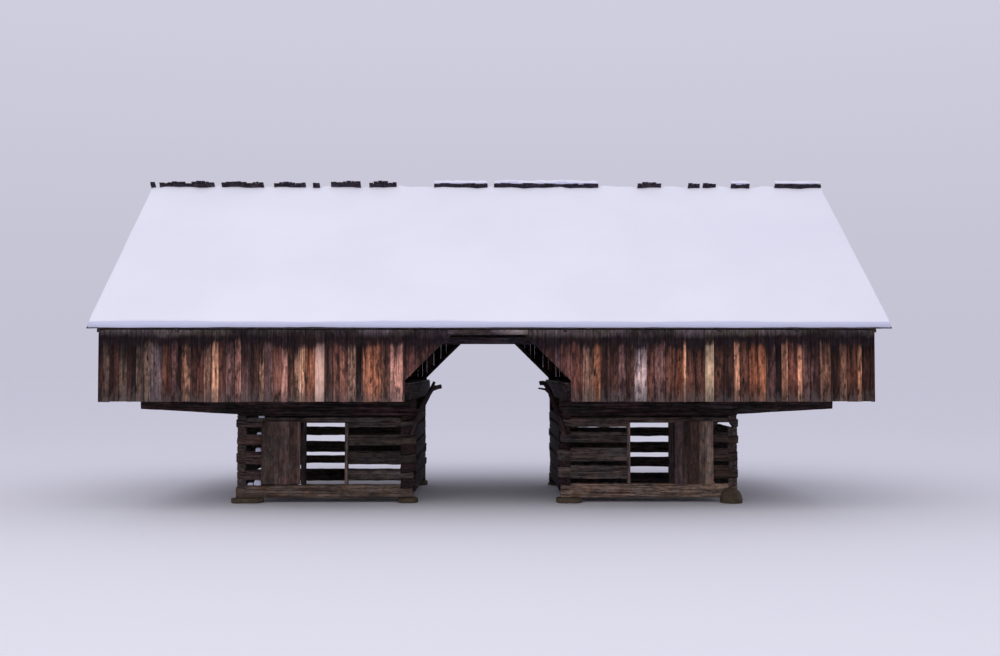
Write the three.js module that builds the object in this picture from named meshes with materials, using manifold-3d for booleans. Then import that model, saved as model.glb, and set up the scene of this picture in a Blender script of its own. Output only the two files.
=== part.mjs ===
// Cantilever barn. Two log pens stand on corner stones with a driveway between them, and two
// layers of crossed beams on top of them carry a boarded loft that overhangs on all four sides.
// Millimetres, +Z up. The front faces -Y. The origin is on the ground, under the middle of the ridge.
import * as THREE from 'three';
import { mergeVertices } from 'three/addons/utils/BufferGeometryUtils.js';
import Module from 'manifold-3d';

const wasm = await Module();
wasm.setup();

// Clearance between two faces that aren't both square to the axes
const faceGap = 0.3;
// How far two shapes that are joined into one piece run into each other
const joinDepth = 2;

// Log pens
const penInnerX = 1800;
const penOuterX = 6250;
const penHalfDepth = 2400;
const logThickness = 220;
const logEdgeCut = 26;
// Lower and upper face of each sill
const sills = {
  front: { left: [125, 451], right: [125, 475] },
  back: { left: [125, 461], right: [50, 339] },
};
// Lower face of the top logs of the front and back walls, and upper face of the front ones
const topLogZ = { left: 1880, right: 1930 };
const backTopLogZ = 1880;
const topLogTopZ = 2131;
const penTopZ = 2169;
// Lower and upper face of each log between them
const frontCourses = {
  left: [[571, 827], [953, 1285], [1429, 1705]],
  right: [[588, 928], [1028, 1367], [1492, 1763]],
};
const backCourses = {
  left: [[636, 845], [944, 1252], [1432, 1668]],
  right: [[522, 798], [932, 1237], [1406, 1653]],
};
// Lower and upper face of a side wall's logs, which lie closer together along the driveway
const sideCourses = {
  outer: [[300, 600], [700, 1010], [1140, 1440], [1560, 1860], [1990, penTopZ]],
  driveway: [[262, 638], [678, 1042], [1090, 1484], [1520, 1890], [1930, penTopZ]],
};

// Doorway in the front wall of each pen
const doorInnerX = 3570;
const doorOuterX = 4550;
const doorTopZ = 1990;
const innerJambWidth = 75;
const outerJambWidth = 110;

// Door leaf, strap knuckles and pintles
const hingeX = 4600;
const hingeOffWall = 40;
const leafStart = 67;
const leafEnd = 1040;
const leafBottomZ = 462;
const leafTopZ = 2030;
const boardThickness = 25;
const ledgeThickness = 25;
const ledgeHeight = 130;
const ledgeInset = 45;
const ledgeCentres = [760, 1740];
const knuckleRadius = 20;
const knuckleBore = 10.5;
const knuckleHeight = 50;
const pinRadius = 9;
const pinHeight = 62;
const pinArmHeight = 16;
const pinArmWidth = 30;
const knuckleRise = 0.3;
const strapHeight = 42;
const strapThickness = 8;

// Cantilever beams along the front and back walls of the pens
const beamTopZ = 2578;
const beamWidth = 270;
const beamTipX = 8660;
const beamTipBottomZ = 2340;
const beamShoulderZ = 2205;

// Cross beams from the front to the back, one over each side wall and one at each gable
const crossTopZ = 2978;
const crossWidth = 220;
const gableCrossWidth = 280;
const crossTipBottomZ = 2640;

// Boarded loft
const loftHalfLength = 8880;
const loftHalfDepth = 5000;
const sidingThickness = 30;
const sidingTopZ = 4230;
const floorThickness = 40;
const joistHeight = 120;
const joistWidth = 110;
const joistLines = [-4100, -1400, 1400, 4100];
const frameDepth = 120;
const railHeight = 120;
const postWidth = 120;
const postCentres = [1960, 3320, 4680, 6040, 7400, 8790];

// Drive opening through the front and back board walls
const driveHalfWidth = 1900;
const driveCornerZ = 3070;
const driveTopZ = 4120;
const driveTopHalfWidth = 835;
const braceDepth = 110;

// Roof
const roofHalfLength = 9130;
const roofHalfDepth = 5300;
const eaveZ = 4280;
const roofPitch = THREE.MathUtils.degToRad(36.5);
const shakeThickness = 60;
const lathThickness = 25;
const lathWidth = 110;
const lathCount = 4;
const lathFirst = 5190;
const lathLast = 200;
const lathHalfLength = 9100;
// How far the front eave has slipped to the right, against the ridge
const eaveSlip = 65;
const rafterDepth = 130;
const rafterWidth = 80;
const rafterCount = 11;
const rafterTail = 5200;
const plateWidth = 150;
const plateTopZ = 4320;
const snowDepth = 120;
const snowHalfLength = 9112;
const snowLip = 70;

// Comb: the last course of the back slope's shakes stands past the ridge in broken runs
const combReach = 370;
const snowyCombReach = 262;
const combSnowReach = 275;
const combSideGap = 6;
// Start and end of each run along X, and whether snow lies on it
const combRuns = [
  [-9100, -8970, false],
  [-8860, -7380, false],
  [-7190, -6050, false],
  [-5780, -4920, false],
  [-4730, -4540, false],
  [-4240, -3430, false],
  [-3210, -2460, false],
  [-1460, 0, true],
  [165, 3000, true],
  [4055, 4705, false],
  [5430, 6190, false],
  [6595, 7110, true],
  [7785, 9055, true],
];

// Corner stones, each as high as its sill lies: the middle, the plan's half sizes, and a turn that
// varies the outline
const stoneEdgeCut = 24;
const stones = [
  { hand: 'left', wall: 'front', spot: 'outer', x: -6020, y: -2300, halfX: 390, halfY: 250, turn: 0.4 },
  { hand: 'left', wall: 'front', spot: 'inner', x: -2020, y: -2310, halfX: 260, halfY: 230, turn: 1.7 },
  { hand: 'left', wall: 'back', spot: 'outer', x: -6060, y: 2300, halfX: 330, halfY: 240, turn: 2.9 },
  { hand: 'left', wall: 'back', spot: 'inner', x: -2030, y: 2290, halfX: 290, halfY: 230, turn: 4.1 },
  { hand: 'right', wall: 'front', spot: 'inner', x: 2065, y: -2320, halfX: 345, halfY: 270, turn: 5.3 },
  { hand: 'right', wall: 'back', spot: 'inner', x: 2040, y: 2300, halfX: 300, halfY: 240, turn: 0.9 },
  { hand: 'right', wall: 'back', spot: 'outer', x: 6040, y: 2290, halfX: 340, halfY: 250, turn: 2.2 },
];
const boulder = { x: 6085, y: -2425, z: 90, halfX: 275, halfY: 300, halfZ: 290 };

// Forked crooks: the stem's route and the second tine's, as X away from the middle and Z
const crookRadius = 64;
const crookSides = 8;
const crooks = [
  {
    name: 'left_forked_crook',
    side: -1,
    stem: [
      [1905, 1690], [1850, 1830], [1690, 2250], [1575, 2520], [1450, 2760], [1360, 2870], [1155, 2900],
    ],
    tine: [[1420, 2800], [1375, 2930], [1330, 3020]],
    tineRadius: 43,
  },
  {
    name: 'right_forked_crook',
    side: 1,
    stem: [
      [1925, 1640], [1880, 1780], [1800, 2110], [1660, 2450], [1550, 2760], [1460, 2950], [1375, 3000],
      [1290, 2975],
    ],
    tine: [[1530, 2790], [1440, 2825], [1360, 2840], [1265, 2855]],
    tineRadius: 28,
  },
];

const colours = {
  log: 0x5b524b,
  beam: 0x4a3f3c,
  frame: 0x574a40,
  floor: 0x6a5848,
  siding: 0x6d5347,
  shake: 0x3d3a3c,
  snow: 0xdfe0ee,
  stone: 0x75705f,
  door: 0x5f544e,
  crook: 0x4c443c,
};

const barn = new THREE.Group();

function material(colour, roughness) {
  return new THREE.MeshStandardMaterial({ color: colour, roughness, metalness: 0 });
}

// A named mesh of the barn
function place(name, geometry, colour, roughness = 0.9) {
  const mesh = new THREE.Mesh(geometry, material(colour, roughness));
  mesh.name = name;
  barn.add(mesh);
  return mesh;
}

// A closed solid from a geometry
function solid(geometry) {
  const bare = geometry.clone();
  bare.deleteAttribute('normal');
  bare.deleteAttribute('uv');
  const merged = mergeVertices(bare, 0.001);
  return new wasm.Manifold(new wasm.Mesh({
    numProp: 3,
    vertProperties: new Float32Array(merged.attributes.position.array),
    triVerts: new Uint32Array(merged.index.array),
  }));
}

// A geometry from a closed solid
function geometryOf(manifold) {
  const mesh = manifold.getMesh();
  const geometry = new THREE.BufferGeometry();
  geometry.setAttribute('position', new THREE.BufferAttribute(new Float32Array(mesh.vertProperties), 3));
  geometry.setIndex(new THREE.BufferAttribute(new Uint32Array(mesh.triVerts), 1));
  geometry.computeVertexNormals();
  return geometry;
}

// One geometry from several that run into each other
function joined(geometries) {
  let whole = solid(geometries[0]);
  for (const geometry of geometries.slice(1)) {
    whole = whole.add(solid(geometry));
  }
  return geometryOf(whole);
}

// A geometry with others cut out of it
function cutAway(geometry, cutters) {
  let rest = solid(geometry);
  for (const cutter of cutters) {
    rest = rest.subtract(solid(cutter));
  }
  return geometryOf(rest);
}

// A box between two corners, given in any order
function box(x0, x1, y0, y1, z0, z1) {
  const geometry = new THREE.BoxGeometry(Math.abs(x1 - x0), Math.abs(y1 - y0), Math.abs(z1 - z0));
  return geometry.translate((x0 + x1) / 2, (y0 + y1) / 2, (z0 + z1) / 2);
}

function shapeOf(points) {
  return new THREE.Shape(points.map(([a, b]) => new THREE.Vector2(a, b)));
}

function extruded(points, length) {
  return new THREE.ExtrudeGeometry(shapeOf(points), { depth: length, bevelEnabled: false });
}

// An outline in Y and Z, run along X
function alongX(points, x0, x1) {
  const low = Math.min(x0, x1);
  const axes = new THREE.Matrix4().set(0, 0, 1, low, 1, 0, 0, 0, 0, 1, 0, 0, 0, 0, 0, 1);
  return extruded(points, Math.abs(x1 - x0)).applyMatrix4(axes);
}

// An outline in X and Z, run along Y
function alongY(points, y0, y1) {
  const high = Math.max(y0, y1);
  const axes = new THREE.Matrix4().set(1, 0, 0, 0, 0, 0, -1, high, 0, 1, 0, 0, 0, 0, 0, 1);
  return extruded(points, Math.abs(y1 - y0)).applyMatrix4(axes);
}

// The eight-sided section of a hewn log with worn edges
function logSection(a0, a1, z0, z1) {
  const c = logEdgeCut;
  return [
    [a0 + c, z0], [a1 - c, z0], [a1, z0 + c], [a1, z1 - c],
    [a1 - c, z1], [a0 + c, z1], [a0, z1 - c], [a0, z0 + c],
  ];
}

// A log along X, its outer face on the given side
function logAlongX(x0, x1, side, z0, z1) {
  const outer = side * penHalfDepth;
  const inner = outer - side * logThickness;
  return alongX(logSection(Math.min(outer, inner), Math.max(outer, inner), z0, z1), x0, x1);
}

// A log along Y in a side wall whose faces are at xA and xB
function logAlongY(xA, xB, y0, y1, z0, z1) {
  return alongY(logSection(Math.min(xA, xB), Math.max(xA, xB), z0, z1), y0, y1);
}

// Corner block of a front or back wall: half of the square corner, cut on its diagonal
function cornerBlock(cornerX, towards, side, z0, z1) {
  const outerY = side * penHalfDepth;
  const innerY = outerY - side * logThickness;
  const innerX = cornerX + towards * logThickness;
  const points = [
    [cornerX + towards * faceGap, outerY],
    [innerX + towards * joinDepth, outerY],
    [innerX + towards * joinDepth, innerY],
    [innerX + towards * faceGap, innerY],
  ];
  return upright(points, z0, z1);
}

// Corner block of a side wall: the other half of the square corner
function sideCornerBlock(cornerX, towards, side, z0, z1) {
  const outerY = side * penHalfDepth;
  const innerY = outerY - side * logThickness;
  const innerX = cornerX + towards * logThickness;
  const points = [
    [cornerX, outerY - side * faceGap],
    [innerX, innerY - side * faceGap],
    [innerX, innerY - side * joinDepth],
    [cornerX, innerY - side * joinDepth],
  ];
  return upright(points, z0, z1);
}

// A plan outline run upwards
function upright(points, z0, z1) {
  return extruded(points, z1 - z0).translate(0, 0, z0);
}

// The wedge behind a corner's diagonal, taken off the ends of a front or back wall's logs
function mitreCutter(cornerX, towards, side, z0, z1) {
  const outerY = side * penHalfDepth;
  const innerY = outerY - side * logThickness;
  const over = 2 * logThickness;
  const points = [
    [cornerX - towards * over + towards * faceGap, outerY + side * over],
    [cornerX + towards * (logThickness + over) + towards * faceGap, innerY - side * over],
    [cornerX - towards * over, innerY - side * over],
  ];
  return upright(points, z0, z1);
}

// Corner stones
function addStones() {
  for (const stone of stones) {
    const topZ = sills[stone.wall][stone.hand][0];
    const edgeCut = Math.min(stoneEdgeCut, topZ / 3);
    const points = [];
    const corners = 10;
    for (let i = 0; i < corners; i += 1) {
      const angle = (2 * Math.PI * i) / corners;
      const swell = 1 + 0.08 * Math.sin(3 * angle + stone.turn) + 0.06 * Math.sin(2 * angle + 2 * stone.turn);
      points.push([
        (stone.halfX - edgeCut) * swell * Math.cos(angle),
        (stone.halfY - edgeCut) * swell * Math.sin(angle),
      ]);
    }
    const geometry = new THREE.ExtrudeGeometry(shapeOf(points), {
      depth: topZ - 2 * edgeCut,
      bevelThickness: edgeCut,
      bevelSize: edgeCut,
      bevelSegments: 2,
    });
    const mesh = place(`${stone.hand}_pen_${stone.wall}_${stone.spot}_stone`, geometry, colours.stone);
    mesh.position.set(stone.x, stone.y, edgeCut);
  }
  const round = new THREE.SphereGeometry(1, 16, 12);
  round.scale(boulder.halfX, boulder.halfY, boulder.halfZ);
  round.translate(boulder.x, boulder.y, boulder.z);
  const under = box(0, 2 * boulder.x, -2 * penHalfDepth, 0, -boulder.halfZ, 0);
  const g = faceGap;
  const sill = box(
    penInnerX, penOuterX + g, -penHalfDepth - g, -penHalfDepth + logThickness + g,
    sills.front.right[0], 3 * boulder.halfZ,
  );
  place('right_pen_front_outer_boulder', cutAway(round, [under, sill]), colours.stone);
}

// The front wall of a pen, split beside, under and over the doorway
function addFrontWall(hand, s) {
  const pen = `${hand}_pen`;
  const inner = s * penInnerX;
  const outer = s * penOuterX;
  const face = -penHalfDepth;
  const back = face + logThickness;
  const [sillBottomZ, sillTopZ] = sills.front[hand];
  const topZ = topLogZ[hand];
  place(`${pen}_front_sill_log`, logAlongX(inner, outer, -1, sillBottomZ, sillTopZ), colours.log);

  const innerJambX = s * (doorInnerX - innerJambWidth);
  const outerJambX = s * (doorOuterX + outerJambWidth);
  const innerBay = [
    cornerBlock(inner, s, -1, sillTopZ, topZ),
    box(innerJambX, s * doorInnerX, face, back, sillTopZ, doorTopZ),
  ];
  const outerBay = [cornerBlock(outer, -s, -1, sillTopZ, topZ)];
  const innerCut = mitreCutter(inner, s, -1, sillTopZ - 1, penTopZ + 1);
  const outerCut = mitreCutter(outer, -s, -1, sillTopZ - 1, penTopZ + 1);
  for (const [z0, z1] of frontCourses[hand]) {
    innerBay.push(cutAway(logAlongX(inner, innerJambX + s * joinDepth, -1, z0, z1), [innerCut]));
    outerBay.push(cutAway(logAlongX(outerJambX, outer, -1, z0, z1), [outerCut]));
  }
  place(`${pen}_front_inner_bay`, joined(innerBay), colours.log);
  place(`${pen}_front_outer_bay`, joined(outerBay), colours.log);

  const topLog = joined([
    cutAway(logAlongX(inner, outer, -1, topZ, topLogTopZ), [innerCut, outerCut]),
    cornerBlock(inner, s, -1, topZ, penTopZ),
    cornerBlock(outer, -s, -1, topZ, penTopZ),
  ]);
  const doorNotch = box(innerJambX, outerJambX, face - 1, back + 1, topZ - 1, doorTopZ);
  place(`${pen}_front_top_log`, cutAway(topLog, [doorNotch]), colours.log);
}

// The back wall of a pen, all its logs joined by their notched ends at the corners
function addBackWall(hand, s) {
  const inner = s * penInnerX;
  const outer = s * penOuterX;
  const [sillBottomZ, sillTopZ] = sills.back[hand];
  const cuts = [
    mitreCutter(inner, s, 1, sillTopZ, penTopZ + 1),
    mitreCutter(outer, -s, 1, sillTopZ, penTopZ + 1),
  ];
  const pieces = [
    logAlongX(inner, outer, 1, sillBottomZ, sillTopZ),
    cornerBlock(inner, s, 1, sillTopZ - joinDepth, penTopZ),
    cornerBlock(outer, -s, 1, sillTopZ - joinDepth, penTopZ),
  ];
  for (const [z0, z1] of [...backCourses[hand], [backTopLogZ, penTopZ]]) {
    pieces.push(cutAway(logAlongX(inner, outer, 1, z0, z1), cuts));
  }
  place(`${hand}_pen_back_wall`, joined(pieces), colours.log);
}

// A side wall of a pen, its corner at cornerX and its thickness towards the pen's middle
function addSideWall(hand, spot, cornerX, towards) {
  const inside = cornerX + towards * logThickness;
  const reach = penHalfDepth - logThickness;
  const pieces = [
    sideCornerBlock(cornerX, towards, -1, sills.front[hand][1], penTopZ),
    sideCornerBlock(cornerX, towards, 1, sills.back[hand][1], penTopZ),
  ];
  for (const [z0, z1] of sideCourses[spot]) {
    pieces.push(logAlongY(cornerX, inside, -reach, reach, z0, z1));
  }
  place(`${hand}_pen_${spot}_wall`, joined(pieces), colours.log);
}

// A pintle on the door jamb: an arm out of the jamb and an upright pin
function pintle(s, z) {
  const face = -penHalfDepth;
  const axisY = face - hingeOffWall;
  const halfArm = pinArmWidth / 2;
  const arm = box(
    s * hingeX - halfArm, s * hingeX + halfArm, axisY - halfArm, face + joinDepth, z - pinArmHeight, z,
  );
  const pin = new THREE.CylinderGeometry(pinRadius, pinRadius, pinHeight + joinDepth, 12);
  pin.rotateX(Math.PI / 2);
  pin.translate(s * hingeX, axisY, z + (pinHeight - joinDepth) / 2);
  return [arm, pin];
}

// Hinge-side jamb and board door of a pen
function addDoor(hand, s) {
  const pen = `${hand}_pen`;
  const face = -penHalfDepth;
  const axisY = face - hingeOffWall;
  const pinBases = ledgeCentres.map((z) => z - knuckleHeight / 2 - knuckleRise);
  const jamb = [box(
    s * doorOuterX, s * (doorOuterX + outerJambWidth), face, face + logThickness,
    sills.front[hand][1], doorTopZ,
  )];
  for (const z of pinBases) {
    jamb.push(...pintle(s, z));
  }
  place(`${pen}_door_jamb`, joined(jamb), colours.log);

  const start = s * (hingeX + leafStart);
  const end = s * (hingeX + leafEnd);
  const leaf = [box(start, end, axisY - boardThickness, axisY + joinDepth / 2, leafBottomZ, leafTopZ)];
  const cutters = [];
  for (const z of ledgeCentres) {
    leaf.push(box(
      start, end - s * ledgeInset, axisY, axisY + ledgeThickness, z - ledgeHeight / 2, z + ledgeHeight / 2,
    ));
    const knuckle = new THREE.CylinderGeometry(knuckleRadius, knuckleRadius, knuckleHeight, 16);
    leaf.push(knuckle.rotateX(Math.PI / 2).translate(s * hingeX, axisY, z));
    leaf.push(box(
      s * (hingeX + (knuckleBore + knuckleRadius) / 2), start + s * joinDepth, axisY - strapThickness / 2,
      axisY + strapThickness / 2, z - strapHeight / 2, z + strapHeight / 2,
    ));
    const bore = new THREE.CylinderGeometry(knuckleBore, knuckleBore, 2 * knuckleHeight, 16);
    cutters.push(bore.rotateX(Math.PI / 2).translate(s * hingeX, axisY, z));
  }
  place(`${pen}_door`, cutAway(joined(leaf), cutters), colours.door);
}

// Cantilever beams on the pens' front and back walls
function addCantileverBeams(hand, s) {
  for (const [wall, side] of [['front', -1], ['back', 1]]) {
    const outline = [
      [s * penInnerX, penTopZ], [s * penOuterX, penTopZ], [s * penOuterX, beamShoulderZ],
      [s * beamTipX, beamTipBottomZ], [s * beamTipX, beamTopZ], [s * penInnerX, beamTopZ],
    ];
    const beam = alongY(outline, side * penHalfDepth, side * (penHalfDepth - beamWidth));
    place(`${wall}_${hand}_cantilever_beam`, beam, colours.beam);
  }
}

// Cross beams, tapered underneath where they overhang the pens
function addCrossBeams(hand, s) {
  const tip = loftHalfDepth - sidingThickness;
  const outline = [
    [-tip, crossTipBottomZ], [-penHalfDepth, beamTopZ], [penHalfDepth, beamTopZ],
    [tip, crossTipBottomZ], [tip, crossTopZ], [-tip, crossTopZ],
  ];
  const gableX = loftHalfLength - sidingThickness;
  const spans = {
    driveway: [penInnerX, penInnerX + crossWidth],
    outer: [penOuterX - crossWidth, penOuterX],
    gable: [gableX - gableCrossWidth, gableX],
  };
  for (const [spot, [near, far]] of Object.entries(spans)) {
    place(`${hand}_${spot}_cross_beam`, alongX(outline, s * near, s * far), colours.beam);
  }
}

// Loft floor with its joists let in between the cross beams
function addLoftFloor(hand, s) {
  const gableX = loftHalfLength - sidingThickness;
  const halfDepth = loftHalfDepth - sidingThickness - frameDepth;
  const bays = [
    [penInnerX + crossWidth, penOuterX - crossWidth],
    [penOuterX, gableX - gableCrossWidth],
  ];
  const floorTopZ = crossTopZ + floorThickness;
  const pieces = [box(s * penInnerX, s * gableX, -halfDepth, halfDepth, crossTopZ, floorTopZ)];
  for (const line of joistLines) {
    for (const [near, far] of bays) {
      pieces.push(box(
        s * near, s * far, line - joistWidth / 2, line + joistWidth / 2,
        crossTopZ - joistHeight, crossTopZ + joinDepth,
      ));
    }
  }
  place(`${hand}_loft_floor`, joined(pieces), colours.floor);
}

// Height of the slanted side of the drive opening at a distance from the middle
function driveSlope(x) {
  const rise = (driveTopZ - driveCornerZ) / (driveHalfWidth - driveTopHalfWidth);
  return driveCornerZ + (driveHalfWidth - x) * rise;
}

// Rail, posts and slanted brace behind a board wall
function addLoftFrame(wall, side, hand, s) {
  const outerY = side * (loftHalfDepth - sidingThickness);
  const innerY = outerY - side * frameDepth;
  const gableX = loftHalfLength - sidingThickness;
  const railTop = crossTopZ + railHeight;
  const pieces = [box(s * driveHalfWidth, s * gableX, outerY, innerY, crossTopZ, railTop)];
  for (const centre of postCentres) {
    pieces.push(box(
      s * (centre - postWidth / 2), s * (centre + postWidth / 2), outerY, innerY,
      railTop - joinDepth, driveTopZ,
    ));
  }
  const foot = driveHalfWidth + postWidth / 4;
  const braceHeight = braceDepth * Math.SQRT2;
  const brace = [
    [s * foot, driveSlope(foot)], [s * foot, driveSlope(foot) + braceHeight],
    [s * (driveTopHalfWidth + braceHeight), driveTopZ], [s * driveTopHalfWidth, driveTopZ],
  ];
  pieces.push(alongY(brace, outerY, innerY));
  place(`${wall}_${hand}_loft_frame`, joined(pieces), colours.frame);
}

// Board walls at the front and the back
function addBoardWall(wall, side) {
  const outerY = side * loftHalfDepth;
  const innerY = outerY - side * sidingThickness;
  for (const [hand, s] of [['left', -1], ['right', 1]]) {
    const boards = box(s * driveHalfWidth, s * loftHalfLength, outerY, innerY, beamTopZ, sidingTopZ);
    place(`${wall}_${hand}_board_wall`, boards, colours.siding);
  }
  const head = [
    [-driveHalfWidth, driveCornerZ], [-driveTopHalfWidth, driveTopZ], [driveTopHalfWidth, driveTopZ],
    [driveHalfWidth, driveCornerZ], [driveHalfWidth, sidingTopZ], [-driveHalfWidth, sidingTopZ],
  ];
  place(`${wall}_drive_head_boards`, alongY(head, outerY, innerY), colours.siding);
}

const pitchRise = Math.tan(roofPitch);
const plumb = 1 / Math.cos(roofPitch);
const ridgeZ = eaveZ + roofHalfDepth * pitchRise;

// Height of the top of the shakes at a distance from the ridge, and of a layer under or over it
function roofZ(u, layer = 0) {
  return ridgeZ - u * pitchRise + layer * plumb;
}

// An outline given as distance from the ridge and height, on one slope of the roof
function onSlope(side, points, x0, x1) {
  return alongX(points.map(([u, z]) => [side * u, z]), x0, x1);
}

// A layer of the front slope, sheared so that its eave has slipped to the right
function slipped(geometry) {
  const shear = -eaveSlip / roofHalfDepth;
  return geometry.applyMatrix4(new THREE.Matrix4().set(1, shear, 0, 0, 0, 1, 0, 0, 0, 0, 1, 0, 0, 0, 0, 1));
}

const lathTop = -shakeThickness - faceGap;
const lathBottom = lathTop - lathThickness;
const rafterBottom = lathBottom - rafterDepth;

function addGables() {
  const halfDepth = loftHalfDepth - sidingThickness;
  const top = lathBottom - 2 * joinDepth;
  const outline = [
    [-halfDepth, beamTopZ], [halfDepth, beamTopZ], [halfDepth, roofZ(halfDepth, top)],
    [0, roofZ(0, top)], [-halfDepth, roofZ(halfDepth, top)],
  ];
  for (const [hand, s] of [['left', -1], ['right', 1]]) {
    const boards = alongX(outline, s * loftHalfLength, s * (loftHalfLength - sidingThickness));
    place(`${hand}_gable_board_wall`, boards, colours.siding);
  }
}

// Rafters and laths of one slope, with the eave plate that they stand on
function addRoofFrame(wall, side) {
  const gableX = loftHalfLength - sidingThickness;
  const plateOuter = loftHalfDepth - sidingThickness;
  const pieces = [box(
    -gableX, gableX, side * plateOuter, side * (plateOuter - plateWidth), driveTopZ, plateTopZ,
  )];
  const ridge = faceGap / 2;
  const rafter = [
    [ridge, roofZ(ridge, lathBottom)], [rafterTail, roofZ(rafterTail, lathBottom)],
    [rafterTail, roofZ(rafterTail, lathBottom - rafterDepth / 2)],
    [loftHalfDepth + sidingThickness, roofZ(loftHalfDepth + sidingThickness, rafterBottom)],
    [ridge, roofZ(ridge, rafterBottom)],
  ];
  const firstRafter = gableX - rafterWidth / 2;
  for (let i = 0; i < rafterCount; i += 1) {
    const centre = -firstRafter + (2 * firstRafter * i) / (rafterCount - 1);
    pieces.push(onSlope(side, rafter, centre - rafterWidth / 2, centre + rafterWidth / 2));
  }
  const width = lathWidth * Math.cos(roofPitch);
  for (let i = 0; i < lathCount; i += 1) {
    const low = lathFirst + ((lathLast - lathFirst) * i) / (lathCount - 1);
    const high = low - width;
    const lath = [
      [high, roofZ(high, lathTop)], [low, roofZ(low, lathTop)],
      [low, roofZ(low, lathBottom - joinDepth)], [high, roofZ(high, lathBottom - joinDepth)],
    ];
    const slip = side < 0 ? (eaveSlip * low) / roofHalfDepth : 0;
    pieces.push(onSlope(side, lath, slip - lathHalfLength, slip + lathHalfLength));
  }
  place(`${wall}_roof_frame`, joined(pieces), colours.frame);
}

// Where the front slope's layers meet the underside of the back slope's shakes
function combMeeting(layer) {
  return ((layer + shakeThickness) * plumb + faceGap) / (2 * pitchRise);
}

function addShakes() {
  const top = combMeeting(0);
  const bottom = combMeeting(-shakeThickness);
  const eave = roofHalfDepth;
  const front = [
    [top, roofZ(top)], [eave, roofZ(eave)], [eave, roofZ(eave, -shakeThickness)],
    [bottom, roofZ(bottom, -shakeThickness)],
  ];
  const frontSlab = slipped(onSlope(-1, front, -roofHalfLength, roofHalfLength));
  place('front_roof_shakes', frontSlab, colours.shake);

  const under = -shakeThickness * Math.sin(roofPitch);
  const back = [
    [0, roofZ(0)], [eave, roofZ(eave)], [eave, roofZ(eave, -shakeThickness)],
    [under, roofZ(under, -shakeThickness)],
  ];
  const pieces = [onSlope(1, back, -roofHalfLength, roofHalfLength)];
  const join = shakeThickness;
  for (const [x0, x1, snowy] of combRuns) {
    const reach = -(snowy ? snowyCombReach : combReach) * Math.cos(roofPitch);
    const comb = [
      [reach, roofZ(reach)], [join, roofZ(join)], [join, roofZ(join, -shakeThickness)],
      [reach + under, roofZ(reach + under, -shakeThickness)],
    ];
    pieces.push(onSlope(1, comb, x0, x1));
  }
  place('back_roof_shakes', joined(pieces), colours.shake);
}

// Snow blankets, with a rounded lip over the eave
function addSnow() {
  const eave = roofHalfDepth;
  const lip = [
    [eave - snowLip / 2, roofZ(eave - snowLip / 2, faceGap)],
    [eave, roofZ(eave, snowDepth / 3)],
    [eave - snowLip / 4, roofZ(eave - snowLip / 4, (snowDepth * 4) / 5)],
    [eave - snowLip, roofZ(eave - snowLip, snowDepth)],
  ];
  const under = combMeeting(faceGap);
  const over = combMeeting(snowDepth);
  const front = [[under, roofZ(under, faceGap)], ...lip, [over, roofZ(over, snowDepth)]];
  const pieces = [onSlope(-1, front, -snowHalfLength, snowHalfLength)];
  const ridge = faceGap / 2;
  const saddle = [
    [ridge, roofZ(ridge, faceGap)], [over + joinDepth, roofZ(over + joinDepth, faceGap)],
    [over + joinDepth, roofZ(over + joinDepth, snowDepth)], [ridge, roofZ(ridge, snowDepth)],
  ];
  for (let i = 1; i < combRuns.length; i += 1) {
    pieces.push(onSlope(-1, saddle, combRuns[i - 1][1] + combSideGap, combRuns[i][0] - combSideGap));
  }
  place('front_roof_snow', slipped(joined(pieces)), colours.snow);

  const back = [[ridge, roofZ(ridge, faceGap)], ...lip, [ridge, roofZ(ridge, snowDepth)]];
  const backPieces = [onSlope(1, back, -snowHalfLength, snowHalfLength)];
  const reach = -combSnowReach * Math.cos(roofPitch);
  const bank = [
    [reach, roofZ(reach, faceGap)], [snowLip, roofZ(snowLip, faceGap)],
    [snowLip, roofZ(snowLip, snowDepth)], [reach, roofZ(reach, snowDepth)],
  ];
  for (const [x0, x1, snowy] of combRuns) {
    if (snowy) {
      backPieces.push(onSlope(1, bank, x0, Math.min(x1, snowHalfLength)));
    }
  }
  place('back_roof_snow', joined(backPieces), colours.snow);
}

// A round branch along a route of X and Z, lying against the pen's front face
function branch(route, s, radius) {
  const y = -penHalfDepth - faceGap - crookRadius * Math.cos(Math.PI / crookSides);
  const points = route.map(([x, z]) => new THREE.Vector3(s * x, y, z));
  const curve = new THREE.CatmullRomCurve3(points);
  const section = [];
  for (let i = 0; i < crookSides; i += 1) {
    const angle = (2 * Math.PI * (i + 0.5)) / crookSides;
    section.push([radius * Math.cos(angle), radius * Math.sin(angle)]);
  }
  return new THREE.ExtrudeGeometry(shapeOf(section), {
    extrudePath: curve, steps: 2 * route.length, bevelEnabled: false,
  });
}

function addCrooks() {
  for (const crook of crooks) {
    const stem = branch(crook.stem, crook.side, crookRadius);
    const tine = branch(crook.tine, crook.side, crook.tineRadius);
    place(crook.name, joined([stem, tine]), colours.crook);
  }
}

addStones();
for (const [hand, s] of [['left', -1], ['right', 1]]) {
  addFrontWall(hand, s);
  addBackWall(hand, s);
  addSideWall(hand, 'outer', s * penOuterX, -s);
  addSideWall(hand, 'driveway', s * penInnerX, s);
  addDoor(hand, s);
  addCantileverBeams(hand, s);
  addCrossBeams(hand, s);
  addLoftFloor(hand, s);
  addLoftFrame('front', -1, hand, s);
  addLoftFrame('back', 1, hand, s);
}
addBoardWall('front', -1);
addBoardWall('back', 1);
addGables();
addRoofFrame('front', -1);
addRoofFrame('back', 1);
addShakes();
addSnow();
addCrooks();

export default barn;
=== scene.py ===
# Cantilever barn. Metres, +Z up, the front faces -Y, the origin on the ground under the ridge.
import math
import random
import bpy
from mathutils import Matrix, Vector


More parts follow.
